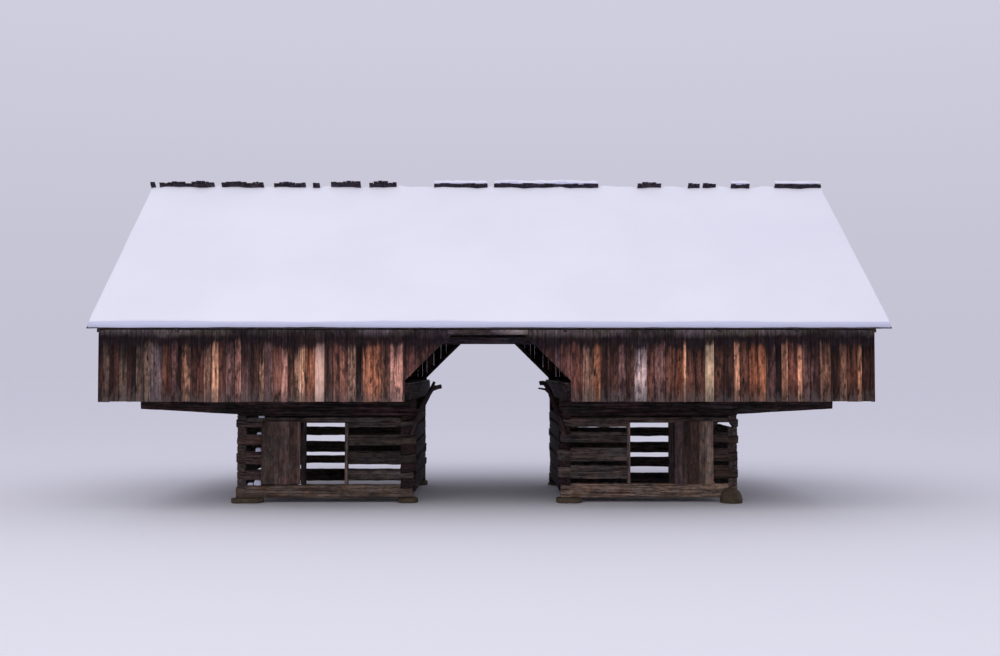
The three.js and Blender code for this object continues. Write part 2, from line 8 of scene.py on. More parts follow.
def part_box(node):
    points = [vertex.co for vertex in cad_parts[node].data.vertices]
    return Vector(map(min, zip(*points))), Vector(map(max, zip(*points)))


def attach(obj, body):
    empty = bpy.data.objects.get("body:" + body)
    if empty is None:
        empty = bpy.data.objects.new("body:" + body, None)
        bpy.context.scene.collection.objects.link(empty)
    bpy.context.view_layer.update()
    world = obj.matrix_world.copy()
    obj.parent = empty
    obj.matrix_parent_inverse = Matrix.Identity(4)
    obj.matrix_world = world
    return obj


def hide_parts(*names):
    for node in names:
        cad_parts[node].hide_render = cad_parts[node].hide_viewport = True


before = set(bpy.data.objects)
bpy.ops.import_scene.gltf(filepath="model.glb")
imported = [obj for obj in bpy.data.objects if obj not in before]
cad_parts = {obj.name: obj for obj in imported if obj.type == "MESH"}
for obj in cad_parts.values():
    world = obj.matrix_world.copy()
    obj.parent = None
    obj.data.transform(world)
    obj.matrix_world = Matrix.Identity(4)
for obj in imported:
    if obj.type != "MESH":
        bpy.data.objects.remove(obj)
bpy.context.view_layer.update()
print("frame loaded")

hands = (("left", -1), ("right", 1))
walls = (("front", -1), ("back", 1))


# Selecting and shaping

def activate(piece):
    bpy.ops.object.select_all(action="DESELECT")
    piece.select_set(True)
    bpy.context.view_layer.objects.active = piece


def addCube(size):  # closed block around the origin
    bpy.ops.object.select_all(action="DESELECT")
    bpy.ops.mesh.primitive_cube_add(size=1, scale=size)
    bpy.ops.object.transform_apply(location=True, rotation=True, scale=True)
    return bpy.context.object


def editEdges(piece, test, operator, **values):  # runs an edit mode operator on edges that pass the test
    activate(piece)
    bpy.ops.object.mode_set(mode="EDIT")
    bpy.ops.mesh.select_mode(type="EDGE")
    bpy.ops.mesh.select_all(action="DESELECT")
    bpy.ops.object.mode_set(mode="OBJECT")
    points = piece.data.vertices
    for edge in piece.data.edges:
        edge.select = test(points[edge.vertices[0]].co, points[edge.vertices[1]].co)
    bpy.ops.object.mode_set(mode="EDIT")
    operator(**values)
    bpy.ops.object.mode_set(mode="OBJECT")


def cutAcross(piece, point, normal, drop=False):  # with drop, takes off the side the normal points to
    activate(piece)
    bpy.ops.object.mode_set(mode="EDIT")
    bpy.ops.mesh.select_all(action="SELECT")
    bpy.ops.mesh.bisect(plane_co=point, plane_no=normal, use_fill=drop, clear_outer=drop)
    bpy.ops.object.mode_set(mode="OBJECT")


def cutAt(piece, axis, *places):  # adds a row of points across X or Y at each place
    normal = (1, 0, 0) if axis == "x" else (0, 1, 0)
    for place in places:
        cutAcross(piece, [n * place for n in normal], normal)


def applyModifier(piece, modifier):
    activate(piece)
    bpy.ops.object.modifier_apply(modifier=modifier.name)


def copyOf(piece):
    twin = piece.copy()
    twin.data = piece.data.copy()
    bpy.context.scene.collection.objects.link(twin)
    return twin


def discard(*pieces):
    for piece in pieces:
        bpy.data.objects.remove(piece)


def joinAll(parts, name):
    bpy.ops.object.select_all(action="DESELECT")
    for part in parts:
        part.select_set(True)
    bpy.context.view_layer.objects.active = parts[0]
    if len(parts) > 1:
        bpy.ops.object.join()
    parts[0].name = name
    parts[0].data.name = name
    return parts[0]


def paint(piece, material):
    piece.data.materials.clear()
    piece.data.materials.append(material)
    return piece


def finishPiece(parts, name, slot, *nodes, body="barn", angle=35):  # makes one named piece of its parts
    piece = joinAll(parts, name)
    activate(piece)
    bpy.ops.object.shade_smooth_by_angle(angle=math.radians(angle))
    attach(piece, body)
    if nodes:
        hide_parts(*nodes)


# Frames that carry a shape made along X to its place
def framed(along, across, upward, middle):
    columns = Matrix((along, across, upward)).transposed()
    return Matrix.Translation(middle) @ columns.to_4x4()


def onX(middle):
    return Matrix.Translation(middle)


def onY(middle):
    return framed((0, 1, 0), (-1, 0, 0), (0, 0, 1), middle)


def onZ(middle):
    return framed((0, 0, 1), (1, 0, 0), (0, 1, 0), middle)


def onZFacingX(middle):
    return framed((0, 0, 1), (0, 1, 0), (-1, 0, 0), middle)


# Textures that wear and sag the meshes, read through an empty that stretches them
def cloudTexture(name, size, depth):
    texture = bpy.data.textures.new(name, "CLOUDS")
    texture.noise_scale = size
    texture.noise_depth = depth
    return texture


hewnTexture = cloudTexture("hewnClouds", 0.11, 2)
stoneTexture = cloudTexture("stoneClouds", 0.16, 4)
driftTexture = cloudTexture("driftClouds", 0.9, 2)
stretcher = bpy.data.objects.new("stretcher", None)
bpy.context.scene.collection.objects.link(stretcher)


def wearAway(piece, texture, depth, stretch, rng, direction="NORMAL"):
    stretcher.location = [rng.uniform(-30, 30) for _ in range(3)]
    stretcher.scale = stretch
    modifier = piece.modifiers.new("wear", "DISPLACE")
    modifier.texture = texture
    modifier.texture_coords = "OBJECT"
    modifier.texture_coords_object = stretcher
    modifier.direction = direction
    modifier.strength = depth
    modifier.mid_level = 0.5
    applyModifier(piece, modifier)


# Every timber carries its own grain coordinates (X along the grain) and its tone
def markGrain(piece, tone, rng, pith=(0, 0)):
    mesh = piece.data
    shift = Vector((rng.uniform(0, 60), pith[0], pith[1]))
    grain = mesh.attributes.get("grain") or mesh.attributes.new("grain", "FLOAT_VECTOR", "POINT")
    grain.data.foreach_set("vector", [c for v in mesh.vertices for c in (v.co + shift)])
    colour = mesh.attributes.get("tone") or mesh.attributes.new("tone", "FLOAT_COLOR", "POINT")
    colour.data.foreach_set("color", [c for _ in mesh.vertices for c in (*tone, 1)])


def shadeOf(rng, spread):  # a tone around 1
    value = 1 + rng.uniform(-spread, spread)
    tilt = rng.uniform(-0.04, 0.04)
    return (value * (1 + tilt), value, value * (1 - tilt))


def setTone(piece, toneAt):  # toneAt finds a point's tone from its place and the tone it has
    for v, point in zip(piece.data.vertices, piece.data.attributes["tone"].data):
        point.color = (*toneAt(v.co, point.color[:3]), 1)


def tint(piece, colour, test=lambda p: True):  # multiplies the tone of the points that pass the test
    setTone(piece, lambda p, tone: [a * b for a, b in zip(tone, colour)] if test(p) else tone)


def timber(length, width, height, wear, rng):  # hewn or sawn timber along X
    piece = addCube((length, width, height))
    shortest = 0.45 * min(width, height)
    cuts = max(2, round(length / wear["segment"]))
    lengthwise = lambda a, b: abs(a.x - b.x) > 0.5 * length
    atEnds = lambda a, b: abs(a.x) > 0.4999 * length and abs(a.x - b.x) < 0.0001
    crosswise = lambda a, b: abs(a.x - b.x) < 0.0001 and (a - b).length > shortest
    bevel, subdivide = bpy.ops.mesh.bevel, bpy.ops.mesh.subdivide
    editEdges(piece, lengthwise, bevel, offset=wear["edge"], segments=wear["rounding"], profile=0.6)
    editEdges(piece, atEnds, bevel, offset=wear["end"], segments=1)
    editEdges(piece, lengthwise, subdivide, number_cuts=cuts)
    if wear["across"]:
        editEdges(piece, crosswise, subdivide, number_cuts=wear["across"])
    if wear["depth"]:
        wearAway(piece, hewnTexture, wear["depth"], (wear["stretch"], 1, 1), rng)
    return piece


def member(size, wear, spread, rng, matrix, material):  # a timber with a tone of its own, in its place
    piece = timber(*size, wear, rng)
    markGrain(piece, shadeOf(rng, spread), rng)
    piece.data.transform(matrix)
    return paint(piece, material)


# What the timbers' edges, ends and faces look like
hewnWear = {
    "edge": 0.04, "rounding": 2, "end": 0.012, "segment": 0.1, "across": 2, "depth": 0.034, "stretch": 3.2,
}
sawnWear = {
    "edge": 0.012, "rounding": 2, "end": 0.004, "segment": 0.2, "across": 1, "depth": 0.012, "stretch": 4,
}
boardWear = {
    "edge": 0.003, "rounding": 1, "end": 0.002, "segment": 0.16, "across": 2, "depth": 0.004, "stretch": 5,
}
barWear = {**boardWear, "edge": 0.001, "end": 0.001, "segment": 0.2, "across": 0, "depth": 0}


# Materials

def linear(red, green, blue):  # from screen values of 0 to 255
    channels = []
    for value in (red, green, blue):
        c = value / 255
        channels.append(c / 12.92 if c < 0.04045 else ((c + 0.055) / 1.055) ** 2.4)
    return tuple(channels)


class NodeSet:  # the nodes of a material or of the world
    def __init__(self, owner):
        owner.use_nodes = True
        self.owner = owner
        self.nodes = owner.node_tree.nodes
        self.links = owner.node_tree.links

    def add(self, kind, settings=None, **sockets):
        node = self.nodes.new(kind)
        for key, value in (settings or {}).items():
            setattr(node, key, value)
        for key, value in sockets.items():
            self.feed(node.inputs[key.replace("_", " ")], value)
        return node

    def feed(self, socket, value):
        if isinstance(value, bpy.types.NodeSocket):
            self.links.new(value, socket)
        else:
            socket.default_value = value

    def noise(self, place, scale, detail=3.0, roughness=0.55, distortion=0.0):
        mapping = self.add("ShaderNodeMapping", Vector=place, Scale=scale)
        return self.add(
            "ShaderNodeTexNoise", Vector=mapping.outputs[0], Scale=1.0, Detail=detail, Roughness=roughness,
            Distortion=distortion,
        ).outputs[0]

    def ramp(self, factor, stops):
        node = self.add("ShaderNodeValToRGB", Fac=factor)
        band = node.color_ramp
        while len(band.elements) < len(stops):
            band.elements.new(0.5)
        for element, (place, colour) in zip(band.elements, stops):
            element.position = place
            element.color = (*colour, 1) if isinstance(colour, tuple) else (colour, colour, colour, 1)
        return node.outputs[0]

    def mix(self, factor, first, second, blend="MIX"):
        node = self.nodes.new("ShaderNodeMix")
        node.data_type = "RGBA"
        node.blend_type = blend
        for index, value in ((0, factor), (6, first), (7, second)):
            self.feed(node.inputs[index], (*value, 1) if isinstance(value, tuple) else value)
        return node.outputs[2]

    def times(self, colour, *others):
        for other in others:
            colour = self.mix(1.0, colour, other, "MULTIPLY")
        return colour

    def maths(self, operation, first, second=0.0, clamp=False):
        node = self.nodes.new("ShaderNodeMath")
        node.operation = operation
        node.use_clamp = clamp
        self.feed(node.inputs[0], first)
        self.feed(node.inputs[1], second)
        return node.outputs[0]

    def scaled(self, value, factor):
        return self.maths("MULTIPLY", value, factor)

    def total(self, first, *others):
        for other in others:
            first = self.maths("ADD", first, other)
        return first

    def shift(self, noise, amount):  # a noise around 0.5 turned into a shift around 0
        return self.scaled(self.maths("SUBTRACT", noise, 0.5), amount)

    def step(self, value, start, end, low=0.0, high=1.0):
        return self.add(
            "ShaderNodeMapRange", {"interpolation_type": "SMOOTHSTEP"}, Value=value, From_Min=start,
            From_Max=end, To_Min=low, To_Max=high,
        ).outputs[0]

    def attribute(self, name, output="Vector"):
        return self.add("ShaderNodeAttribute", {"attribute_name": name}).outputs[output]

    def spot(self):  # a point's place on its object
        return self.add("ShaderNodeTexCoord").outputs["Object"]

    def split(self, vector):
        return self.add("ShaderNodeSeparateXYZ", Vector=vector).outputs

    def knots(self, place, scale):
        mapping = self.add("ShaderNodeMapping", Vector=place, Scale=scale)
        cells = self.add("ShaderNodeTexVoronoi", Vector=mapping.outputs[0], Scale=1.0, Randomness=1.0)
        return cells.outputs[0]


class Shader(NodeSet):  # a material with one surface
    def __init__(self, name, roughness, gloss=0.25):
        super().__init__(bpy.data.materials.new(name))
        self.surface = self.nodes["Principled BSDF"]
        self.surface.inputs["Roughness"].default_value = roughness
        self.surface.inputs["Specular IOR Level"].default_value = gloss

    def finish(self, colour, height=None, strength=0.5, distance=0.01):
        self.feed(self.surface.inputs["Base Color"], colour)
        if height is not None:
            bump = self.add("ShaderNodeBump", Strength=strength, Distance=distance, Height=height)
            self.links.new(bump.outputs[0], self.surface.inputs["Normal"])
        return self.owner


# All wood but the siding: the tints that streaks, patches and grain give it
greyWood = {
    "roughness": 0.88, "gloss": 0.12, "streak": (1.1, 26), "dark": 0.5, "middle": 1.0, "light": 1.7,
    "spread": 0.15, "cool": (0.84, 0.9, 0.94), "warm": (1.14, 1.04, 0.96), "fine": 0.18, "crack": 0.012,
    "knot": 0.07, "knotScale": (1.3, 5.5, 5.5), "bump": 0.6, "patch": (1.8, 3.5, 3.5), "mottle": 0.2,
    "mottleScale": (5.0, 11.0, 11.0),
}


def woodMaterial(name, base, **changes):
    look = {**greyWood, **changes}
    dark, middle, light = (tuple(look[key] * c for c in base) for key in ("dark", "middle", "light"))
    shader = Shader(name, look["roughness"], look["gloss"])
    place = shader.attribute("grain")
    along, across = look["streak"]
    streak = shader.noise(place, (along, across, across), 4.0, 0.6, 0.4)
    fine = shader.noise(place, (along * 5, across * 7, across * 7), 3.0, 0.6)
    patch = shader.noise(place, look["patch"], 3.0, 0.6)
    mottle = shader.noise(place, look["mottleScale"], 4.0, 0.65, 0.2)
    split = shader.noise(place, (along * 0.7, across * 1.6, across * 1.6), 2.0, 0.5, 0.3)
    crack = shader.maths("ABSOLUTE", shader.maths("SUBTRACT", split, 0.5))
    crack = shader.ramp(crack, [(0.0, 0.0), (look["crack"], 0.55), (look["crack"] * 2.2, 1.0)])
    spread = look["spread"]
    colour = shader.times(
        shader.ramp(streak, [(0.5 - spread, dark), (0.5, middle), (0.5 + spread, light)]),
        shader.attribute("tone", "Color"),
        shader.ramp(patch, [(0.4, look["cool"]), (0.6, look["warm"])]),
        shader.ramp(fine, [(0.3, 1 - look["fine"]), (0.7, 1 + look["fine"])]),
        shader.ramp(mottle, [(0.36, 1 - look["mottle"]), (0.64, 1 + look["mottle"])]),
    )
    colour = shader.mix(0.85, colour, crack, "MULTIPLY")
    size = look["knot"]
    knot = shader.ramp(shader.knots(place, look["knotScale"]), [(size, 0.35), (size * 1.8, 1.0)])
    colour = shader.mix(0.9, colour, knot, "MULTIPLY")
    height = shader.total(shader.scaled(streak, 0.6), shader.scaled(fine, 0.25), shader.scaled(crack, 0.7))
    return shader.finish(colour, height, look["bump"], 0.012)


# Wall boards: each has its own tone, with burnt and bleached streaks, a rain-grey foot and a dark band at its
# top of damp staining and painted eave shade. Their "rim" attribute holds the distance from the top, and how
# near a point is to the long edges.
sidingLook = {
    # Scale, detail, roughness and distortion of the noises along the grain
    "noises": {
        "streak": ((1.4, 34, 34), 3.0, 0.55, 0.1), "bold": ((0.7, 10, 10), 2.0, 0.5, 0.2),
        "blotch": ((3.4, 11, 11), 3.0, 0.6, 0.3), "mottle": ((7, 17, 17), 4.0, 0.65, 0.2),
        "fine": ((4, 90, 90), 2.0, 0.6), "each": ((0.35, 1.5, 1.5), 1.0, 0.5),
    },
    "stains": [(0.4, (0.6, 0.57, 0.58)), (0.5, (1.0, 1.0, 1.0)), (0.6, (1.45, 1.38, 1.32))],
    "burnt": (0.016, 0.011, 0.011), "footGrey": (0.11, 0.088, 0.082), "foot": 0.34, "boardLength": 1.65,
    "bandStart": 0.44, "bandFull": 0.29, "dustStart": 0.205, "dustFull": -0.04, "wander": 0.34,
    "calm": (0.32, 0.52), "knotScale": (1.5, 5.5, 5.5),
    "dampAndEaveShade": (0.017, 0.0105, 0.0125), "dustyBrown": (0.235, 0.195, 0.155), "dustyMauve": (0.29, 0.228, 0.24),
    "dustWander": 0.17, "headDust": 2.1,
    # Brightness from a board's top to its foot, in the wall's two halves; the darkened top is painted eave shade
    # together with weathering
    "heightToneAndEaveShade": {
        "left": [
            (0.16, (0.34, 0.34, 0.38)), (0.32, (0.58, 0.55, 0.56)), (0.52, (1.1, 1.02, 0.98)),
            (0.7, (1.26, 1.18, 1.12)), (0.86, (1.12, 1.09, 1.08)), (1.0, (0.86, 0.9, 0.92)),
        ],
        "right": [
            (0.16, (0.36, 0.36, 0.4)), (0.32, (0.6, 0.57, 0.58)), (0.52, (1.12, 1.04, 1.0)),
            (0.68, (1.12, 1.02, 0.97)), (0.82, (0.76, 0.74, 0.73)), (1.0, (0.6, 0.64, 0.66)),
        ],
    },
}


def sidingMaterial():
    look = sidingLook
    shader = Shader("sidingWood", 0.87, 0.12)
    place = shader.attribute("grain")
    tone = shader.attribute("tone", "Color")
    below, nearEdge, levelBoard = shader.split(shader.attribute("rim"))
    spot = shader.spot()
    streak, bold, blotch, mottle, fine, each = (shader.noise(place, *v) for v in look["noises"].values())
    streaked = shader.ramp(streak, [(0.4, 0.74), (0.5, 1.0), (0.6, 1.28)])
    mottled = shader.ramp(mottle, [(0.38, 0.68), (0.5, 1.0), (0.62, 1.4)])
    fineTone = shader.ramp(fine, [(0.35, 0.86), (0.65, 1.14)])
    colour = shader.times(tone, shader.ramp(bold, look["stains"]), streaked, mottled, fineTone)
    colour = shader.mix(shader.ramp(blotch, [(0.36, 0.72), (0.49, 0.0)]), colour, look["burnt"])
    knot = shader.ramp(shader.knots(place, look["knotScale"]), [(0.09, 0.9), (0.15, 0.0)])
    colour = shader.mix(knot, colour, look["burnt"])
    paleness = shader.add("ShaderNodeSeparateColor", Color=tone).outputs[1]
    calm = shader.step(paleness, *look["calm"], 0.0, 0.72)  # the newest boards are the evenest
    colour = shader.mix(calm, colour, shader.times(tone, shader.ramp(streak, [(0.35, 0.84), (0.65, 1.12)])))
    risen = shader.total(below, shader.shift(bold, 0.5), shader.shift(each, 0.4))
    share = shader.maths("DIVIDE", risen, look["boardLength"], clamp=True)
    rightHalf = shader.step(shader.split(spot)[0], -0.8, 0.8)
    # Painted eave shade together with weathering darkens each board's top; the middle is paler and the foot
    # darker
    left, right = (shader.ramp(share, look["heightToneAndEaveShade"][hand]) for hand, _ in hands)
    colour = shader.times(colour, shader.mix(rightHalf, left, right))
    low = shader.total(below, shader.shift(blotch, 1.4))
    foot = shader.step(low, look["boardLength"] - look["foot"], look["boardLength"] + 0.05)
    colour = shader.mix(shader.scaled(foot, 0.5), colour, look["footGrey"])
    drift = shader.noise(spot, (1.1, 1.1, 1.0), 4.0, 0.6)
    soft = shader.noise(spot, (6, 6, 4), 3.0, 0.6)
    moved = shader.total(below, *(shader.shift(noise, amount) for noise, amount in (
        (streak, 0.1), (bold, 0.2), (soft, 0.2), (each, 0.35), (drift, look["wander"]),
    )))
    # Damp staining and painted eave shade: a dark band at each board's top, with dust settling along its upper
    # edge
    band = shader.step(moved, look["bandStart"], look["bandFull"])
    settled = shader.total(below, shader.shift(drift, look["dustWander"]), shader.shift(soft, 0.12))
    patchy = shader.ramp(shader.noise(spot, (0.5, 0.5, 0.5), 3.0, 0.6), [(0.42, 0.25), (0.56, 1.0)])
    dusty = shader.scaled(shader.step(settled, look["dustStart"], look["dustFull"]), patchy)
    hue = shader.noise(spot, (1.4, 1.4, 1.4), 3.0, 0.6)
    dust = shader.ramp(hue, [(0.42, look["dustyBrown"]), (0.58, look["dustyMauve"])])
    dust = shader.mix(levelBoard, dust, shader.times(dust, (look["headDust"],) * 3))
    dampAndEaveShade = shader.times(shader.mix(dusty, look["dampAndEaveShade"], dust), mottled, streaked)
    colour = shader.mix(shader.scaled(band, 0.96), colour, shader.mix(0.05, dampAndEaveShade, colour))
    # Darker near the long edges: weathered edges together with painted shade in the joints between boards
    colour = shader.times(colour, shader.step(nearEdge, 0.86, 1.0, 1.0, 0.55))
    height = shader.total(shader.scaled(streak, 0.7), shader.scaled(fine, 0.2))
    return shader.finish(colour, height, 0.7, 0.012)


logWood = woodMaterial(
    "logWood", (0.092, 0.071, 0.064), streak=(0.7, 15), crack=0.022, bump=0.9, spread=0.17, light=1.4,
    mottle=0.36, fine=0.13,
)
# The beams' dark base is their own colour deepened by painted shade for the dark space under the loft
beamWood = woodMaterial(
    "beamWood", (0.037, 0.024, 0.0235), streak=(0.6, 14), crack=0.03, bump=0.8, spread=0.14, gloss=0.08,
    mottle=0.42, cool=(0.72, 0.9, 0.84), warm=(1.22, 1.0, 1.06),
)
frameWood = woodMaterial("frameWood", (0.06, 0.045, 0.042), streak=(0.7, 24))
floorWood = woodMaterial("floorWood", (0.11, 0.085, 0.07), streak=(0.8, 24))
shakeWood = woodMaterial("shakeWood", (0.075, 0.068, 0.07), streak=(1.8, 34))
doorWood = woodMaterial(
    "doorWood", (0.105, 0.075, 0.067), streak=(0.8, 12), spread=0.22, patch=(3.4, 3.4, 3.4),
    cool=(0.76, 0.8, 0.8), fine=0.14, mottle=0.34, crack=0.006,
)
crookWood = woodMaterial("crookWood", (0.038, 0.026, 0.028), streak=(1.2, 14), crack=0.01)
sidingWood = sidingMaterial()


def ironMaterial():
    shader = Shader("rustyIron", 0.9, 0.15)
    rust = shader.noise(shader.spot(), (60, 60, 60), 4.0, 0.65)
    flakes = [(0.35, (0.02, 0.016, 0.016)), (0.55, (0.05, 0.03, 0.024)), (0.7, (0.11, 0.05, 0.03))]
    return shader.finish(shader.ramp(rust, flakes), rust, 0.5, 0.002)


def snowMaterial():
    shader = Shader("softSnow", 0.7, 0.3)
    place = shader.spot()
    drift = shader.noise(place, (0.35, 0.35, 0.35), 3.0, 0.5)
    grains = shader.noise(place, (55, 55, 55), 3.0, 0.6)
    dimple = shader.noise(place, (3, 3, 3), 3.0, 0.5)
    colour = shader.ramp(drift, [(0.35, (0.86, 0.865, 0.93)), (0.65, (0.9, 0.9, 0.96))])
    # Painted shade: steep faces, such as the eave's lip, are tinted grey-blue
    steep = shader.split(shader.add("ShaderNodeNewGeometry").outputs["Normal"])[2]
    rim = shader.add("ShaderNodeMapRange", Value=steep, From_Min=0.72, From_Max=0.25).outputs[0]
    colour = shader.mix(rim, colour, (0.66, 0.67, 0.83))
    return shader.finish(colour, shader.total(shader.scaled(grains, 0.15), dimple), 0.35, 0.02)


def stoneMaterial():
    shader = Shader("mossyStone", 0.92)
    place = shader.spot()
    broad = shader.noise(place, (3, 3, 3), 4.0, 0.6)
    grains = shader.noise(place, (38, 38, 38), 4.0, 0.6)
    moss = shader.noise(place, (7, 7, 5), 4.0, 0.65)
    layers = [(0.3, (0.06, 0.045, 0.028)), (0.55, (0.11, 0.083, 0.052)), (0.75, (0.18, 0.145, 0.1))]
    colour = shader.times(shader.ramp(broad, layers), shader.ramp(grains, [(0.3, 0.65), (0.7, 1.3)]))
    colour = shader.mix(shader.ramp(moss, [(0.52, 0.0), (0.66, 0.8)]), colour, (0.07, 0.075, 0.028))
    return shader.finish(colour, shader.total(broad, shader.scaled(grains, 0.35)), 0.8, 0.03)


rustyIron = ironMaterial()
softSnow = snowMaterial()
mossyStone = stoneMaterial()
print("materials made")

# Corner stones

stoneShape = {
    "wide": 0.97, "high": 1.25, "round": 0.4, "rough": 0.075, "roughStretch": (2.2, 2.2, 1.4), "fine": 0.03,
    "fineStretch": (0.6, 0.6, 0.6), "thin": 0.12,
}
boulderShape = {
    "middleZ": 0.09, "rough": 0.09, "roughStretch": (1.8, 1.8, 1.8), "fine": 0.03,
    "fineStretch": (0.5, 0.5, 0.5),
}
stoneRng = random.Random(11)


def finishStone(stone, look, rough, node, name):
    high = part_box(node)[1]
    wearAway(stone, stoneTexture, rough, look["roughStretch"], stoneRng)
    wearAway(stone, stoneTexture, look["fine"], look["fineStretch"], stoneRng)
    for v in stone.data.vertices:
        v.co.z = min(max(v.co.z, 0), high.z)
    finishPiece([paint(stone, mossyStone)], name, "corner_stone", node, angle=60)


def buildStone(node):
    low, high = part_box(node)
    size = high - low
    look = stoneShape
    stone = addCube((size.x * look["wide"], size.y * look["wide"], size.z * look["high"]))
    stone.data.transform(Matrix.Translation((low + high) / 2))
    upright = lambda a, b: abs(a.z - b.z) > 0.01
    offset = look["round"] * min(size.x, size.y)
    editEdges(stone, upright, bpy.ops.mesh.bevel, offset=offset, segments=4, profile=0.5)
    editEdges(stone, lambda a, b: True, bpy.ops.mesh.subdivide, number_cuts=2)
    soft = stone.modifiers.new("soft", "SUBSURF")
    soft.levels = soft.render_levels = 2
    applyModifier(stone, soft)
    rough = look["rough"] * min(1, size.z / look["thin"])
    finishStone(stone, look, rough, node, node.replace("stone", "worn_stone"))


def buildBoulder(node):
    low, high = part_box(node)
    bpy.ops.object.select_all(action="DESELECT")
    bpy.ops.mesh.primitive_ico_sphere_add(subdivisions=5, radius=1)
    boulder = bpy.context.object
    z = boulderShape["middleZ"]
    middle = Vector(((low.x + high.x) / 2, (low.y + high.y) / 2, z))
    half = (high - low) / 2
    boulder.data.transform(Matrix.Translation(middle) @ Matrix.Diagonal((half.x, half.y, high.z - z, 1)))
    finishStone(boulder, boulderShape, boulderShape["rough"], node, "right_pen_front_outer_mossy_boulder")


for node in sorted(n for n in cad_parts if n.endswith("_stone")):
    buildStone(node)
buildBoulder("right_pen_front_outer_boulder")
print("stones built")

# Log pens

pen = {
    "innerX": 1.8, "outerX": 6.25, "halfDepth": 2.4, "thickness": 0.22, "topZ": 2.169,
    # Lower and upper face of each log, from the sill to the top log
    "frontCourses": {
        "left": [(0.125, 0.451), (0.571, 0.827), (0.953, 1.285), (1.429, 1.705), (1.88, 2.131)],
        "right": [(0.125, 0.475), (0.588, 0.928), (1.028, 1.367), (1.492, 1.763), (1.886, 2.131)],
    },
    "backCourses": {
        "left": [(0.125, 0.461), (0.636, 0.845), (0.944, 1.252), (1.432, 1.668), (1.88, 2.166)],
        "right": [(0.05, 0.339), (0.522, 0.798), (0.932, 1.237), (1.406, 1.653), (1.88, 2.166)],
    },
    "sideCourses": [(0.3, 0.6), (0.7, 1.01), (1.14, 1.44), (1.56, 1.86), (1.99, 2.169)],
    "innerJamb": (3.495, 3.57), "outerJamb": (4.55, 4.66), "doorTopZ": 1.99,
    "flare": {"left": 0.16, "right": 0.05},  # how much wider the driveway logs' front ends are
    "sillTone": {"left": (2.1, 1.92, 1.62), "right": (2.6, 2.35, 2.0)},
    "innerTones": {
        "left": [(1, 1, 1), (0.6, 0.62, 0.6), (0.84, 0.88, 0.82)],
        "right": [(1, 1, 1), (1, 1, 1), (0.95, 0.92, 0.94)],
    },
    "roundEnd": 0.14, "roundEndHighlight": (1.35, 1.3, 1.3), "fullEnds": {"left": 0.5, "right": 0.85},
    "lapSlope": 0.022, "lapGap": 0.003, "nose": (-0.008, 0.032), "sideNose": (-0.03, 0.012), "lean": 0.011,
    "swell": 0.036, "innerJambTone": (1.9, 1.75, 1.7), "outerJambTone": (0.55, 0.5, 0.54),
    # Painted shade: the driveway walls' logs are darkened for the deep shade under the loft, and their front ends
    # keep more of their tone
    "shade": {"left": (0.4, 0.31, 0.35), "right": (0.2, 0.09, 0.12)},  # the driveway walls' logs
    "endShade": {"left": (1.12, 1.15, 1.12), "right": (2.1, 3.7, 3.1)},
    "outerTones": {"left": (1.18, 0.95, 0.93), "right": (0.64, 0.55, 0.48)},
    "wornTop": (5.7, 6.08, 2.0),  # where the right pen's top log is worn from below, and up to which height
    "innerNose": {"left": (-0.09, -0.06, -0.02, 0.0, 0.0), "right": (-0.035, 0.03, 0.035, -0.03, 0.0)},
    "seam": 0.004,  # half the width of the step at a shoulder
    "slopeReach": 0.3, "spread": 0.16, "pith": 0.03, "roundness": 0.62, "setBack": 0.004,
}
penRng = random.Random(23)


def handOf(x):
    return "left" if x < 0 else "right"


def coursesOf(x, side):  # all courses of the front or back wall, on the side of the driveway where x is
    return pen["backCourses" if side > 0 else "frontCourses"][handOf(x)]


def inwardOf(cornerX):  # the way from a corner into its pen along X, 1 or -1
    return math.copysign(1, cornerX) * (1 if abs(cornerX) == pen["innerX"] else -1)


def lapLevel(below, above, lowerShare=0.5):  # height where two crossing logs meet in a corner
    return above[0] + (below[1] - above[0]) * lowerShare


def drivewayFront(x, side, values, otherwise):  # a value by hand for the front corners at the driveway
    return values[handOf(x)] if side < 0 and abs(x) < pen["outerX"] - 1 else otherwise


def cornerSlope(distance):  # rise of a notch's face from its shoulder to the log's end
    return pen["lapSlope"] * (2 * min(max(distance, 0), pen["slopeReach"]) / pen["thickness"] - 1)


def fitLog(length, courseLow, courseHigh):
    log = timber(length, pen["thickness"], courseHigh - courseLow, hewnWear, penRng)
    tone = shadeOf(penRng, pen["spread"])
    pith = [penRng.uniform(-pen["pith"], pen["pith"]) for _ in range(2)]
    markGrain(log, tone, penRng, pith)
    return paint(log, logWood)


def raiseUnderside(log, inside, height):
    for v in log.data.vertices:
        if inside(v.co):
            v.co.z = max(v.co.z, height)


# Notches one end of a log. Runs along "x" or "y"; the shoulder is where the crossing wall's inner face is.
def notchEnd(log, course, axis, shoulder, outward, below, above):
    index = "xy".index(axis)
    cutAt(log, axis, shoulder + outward * pen["seam"], shoulder - outward * pen["seam"])
    for v in log.data.vertices:
        if (v.co[index] - shoulder) * outward > pen["seam"] / 2:
            share = min(max((v.co.z - course[0]) / (course[1] - course[0]), 0), 1)
            v.co.z = below(v.co) + share * (above(v.co) - below(v.co))


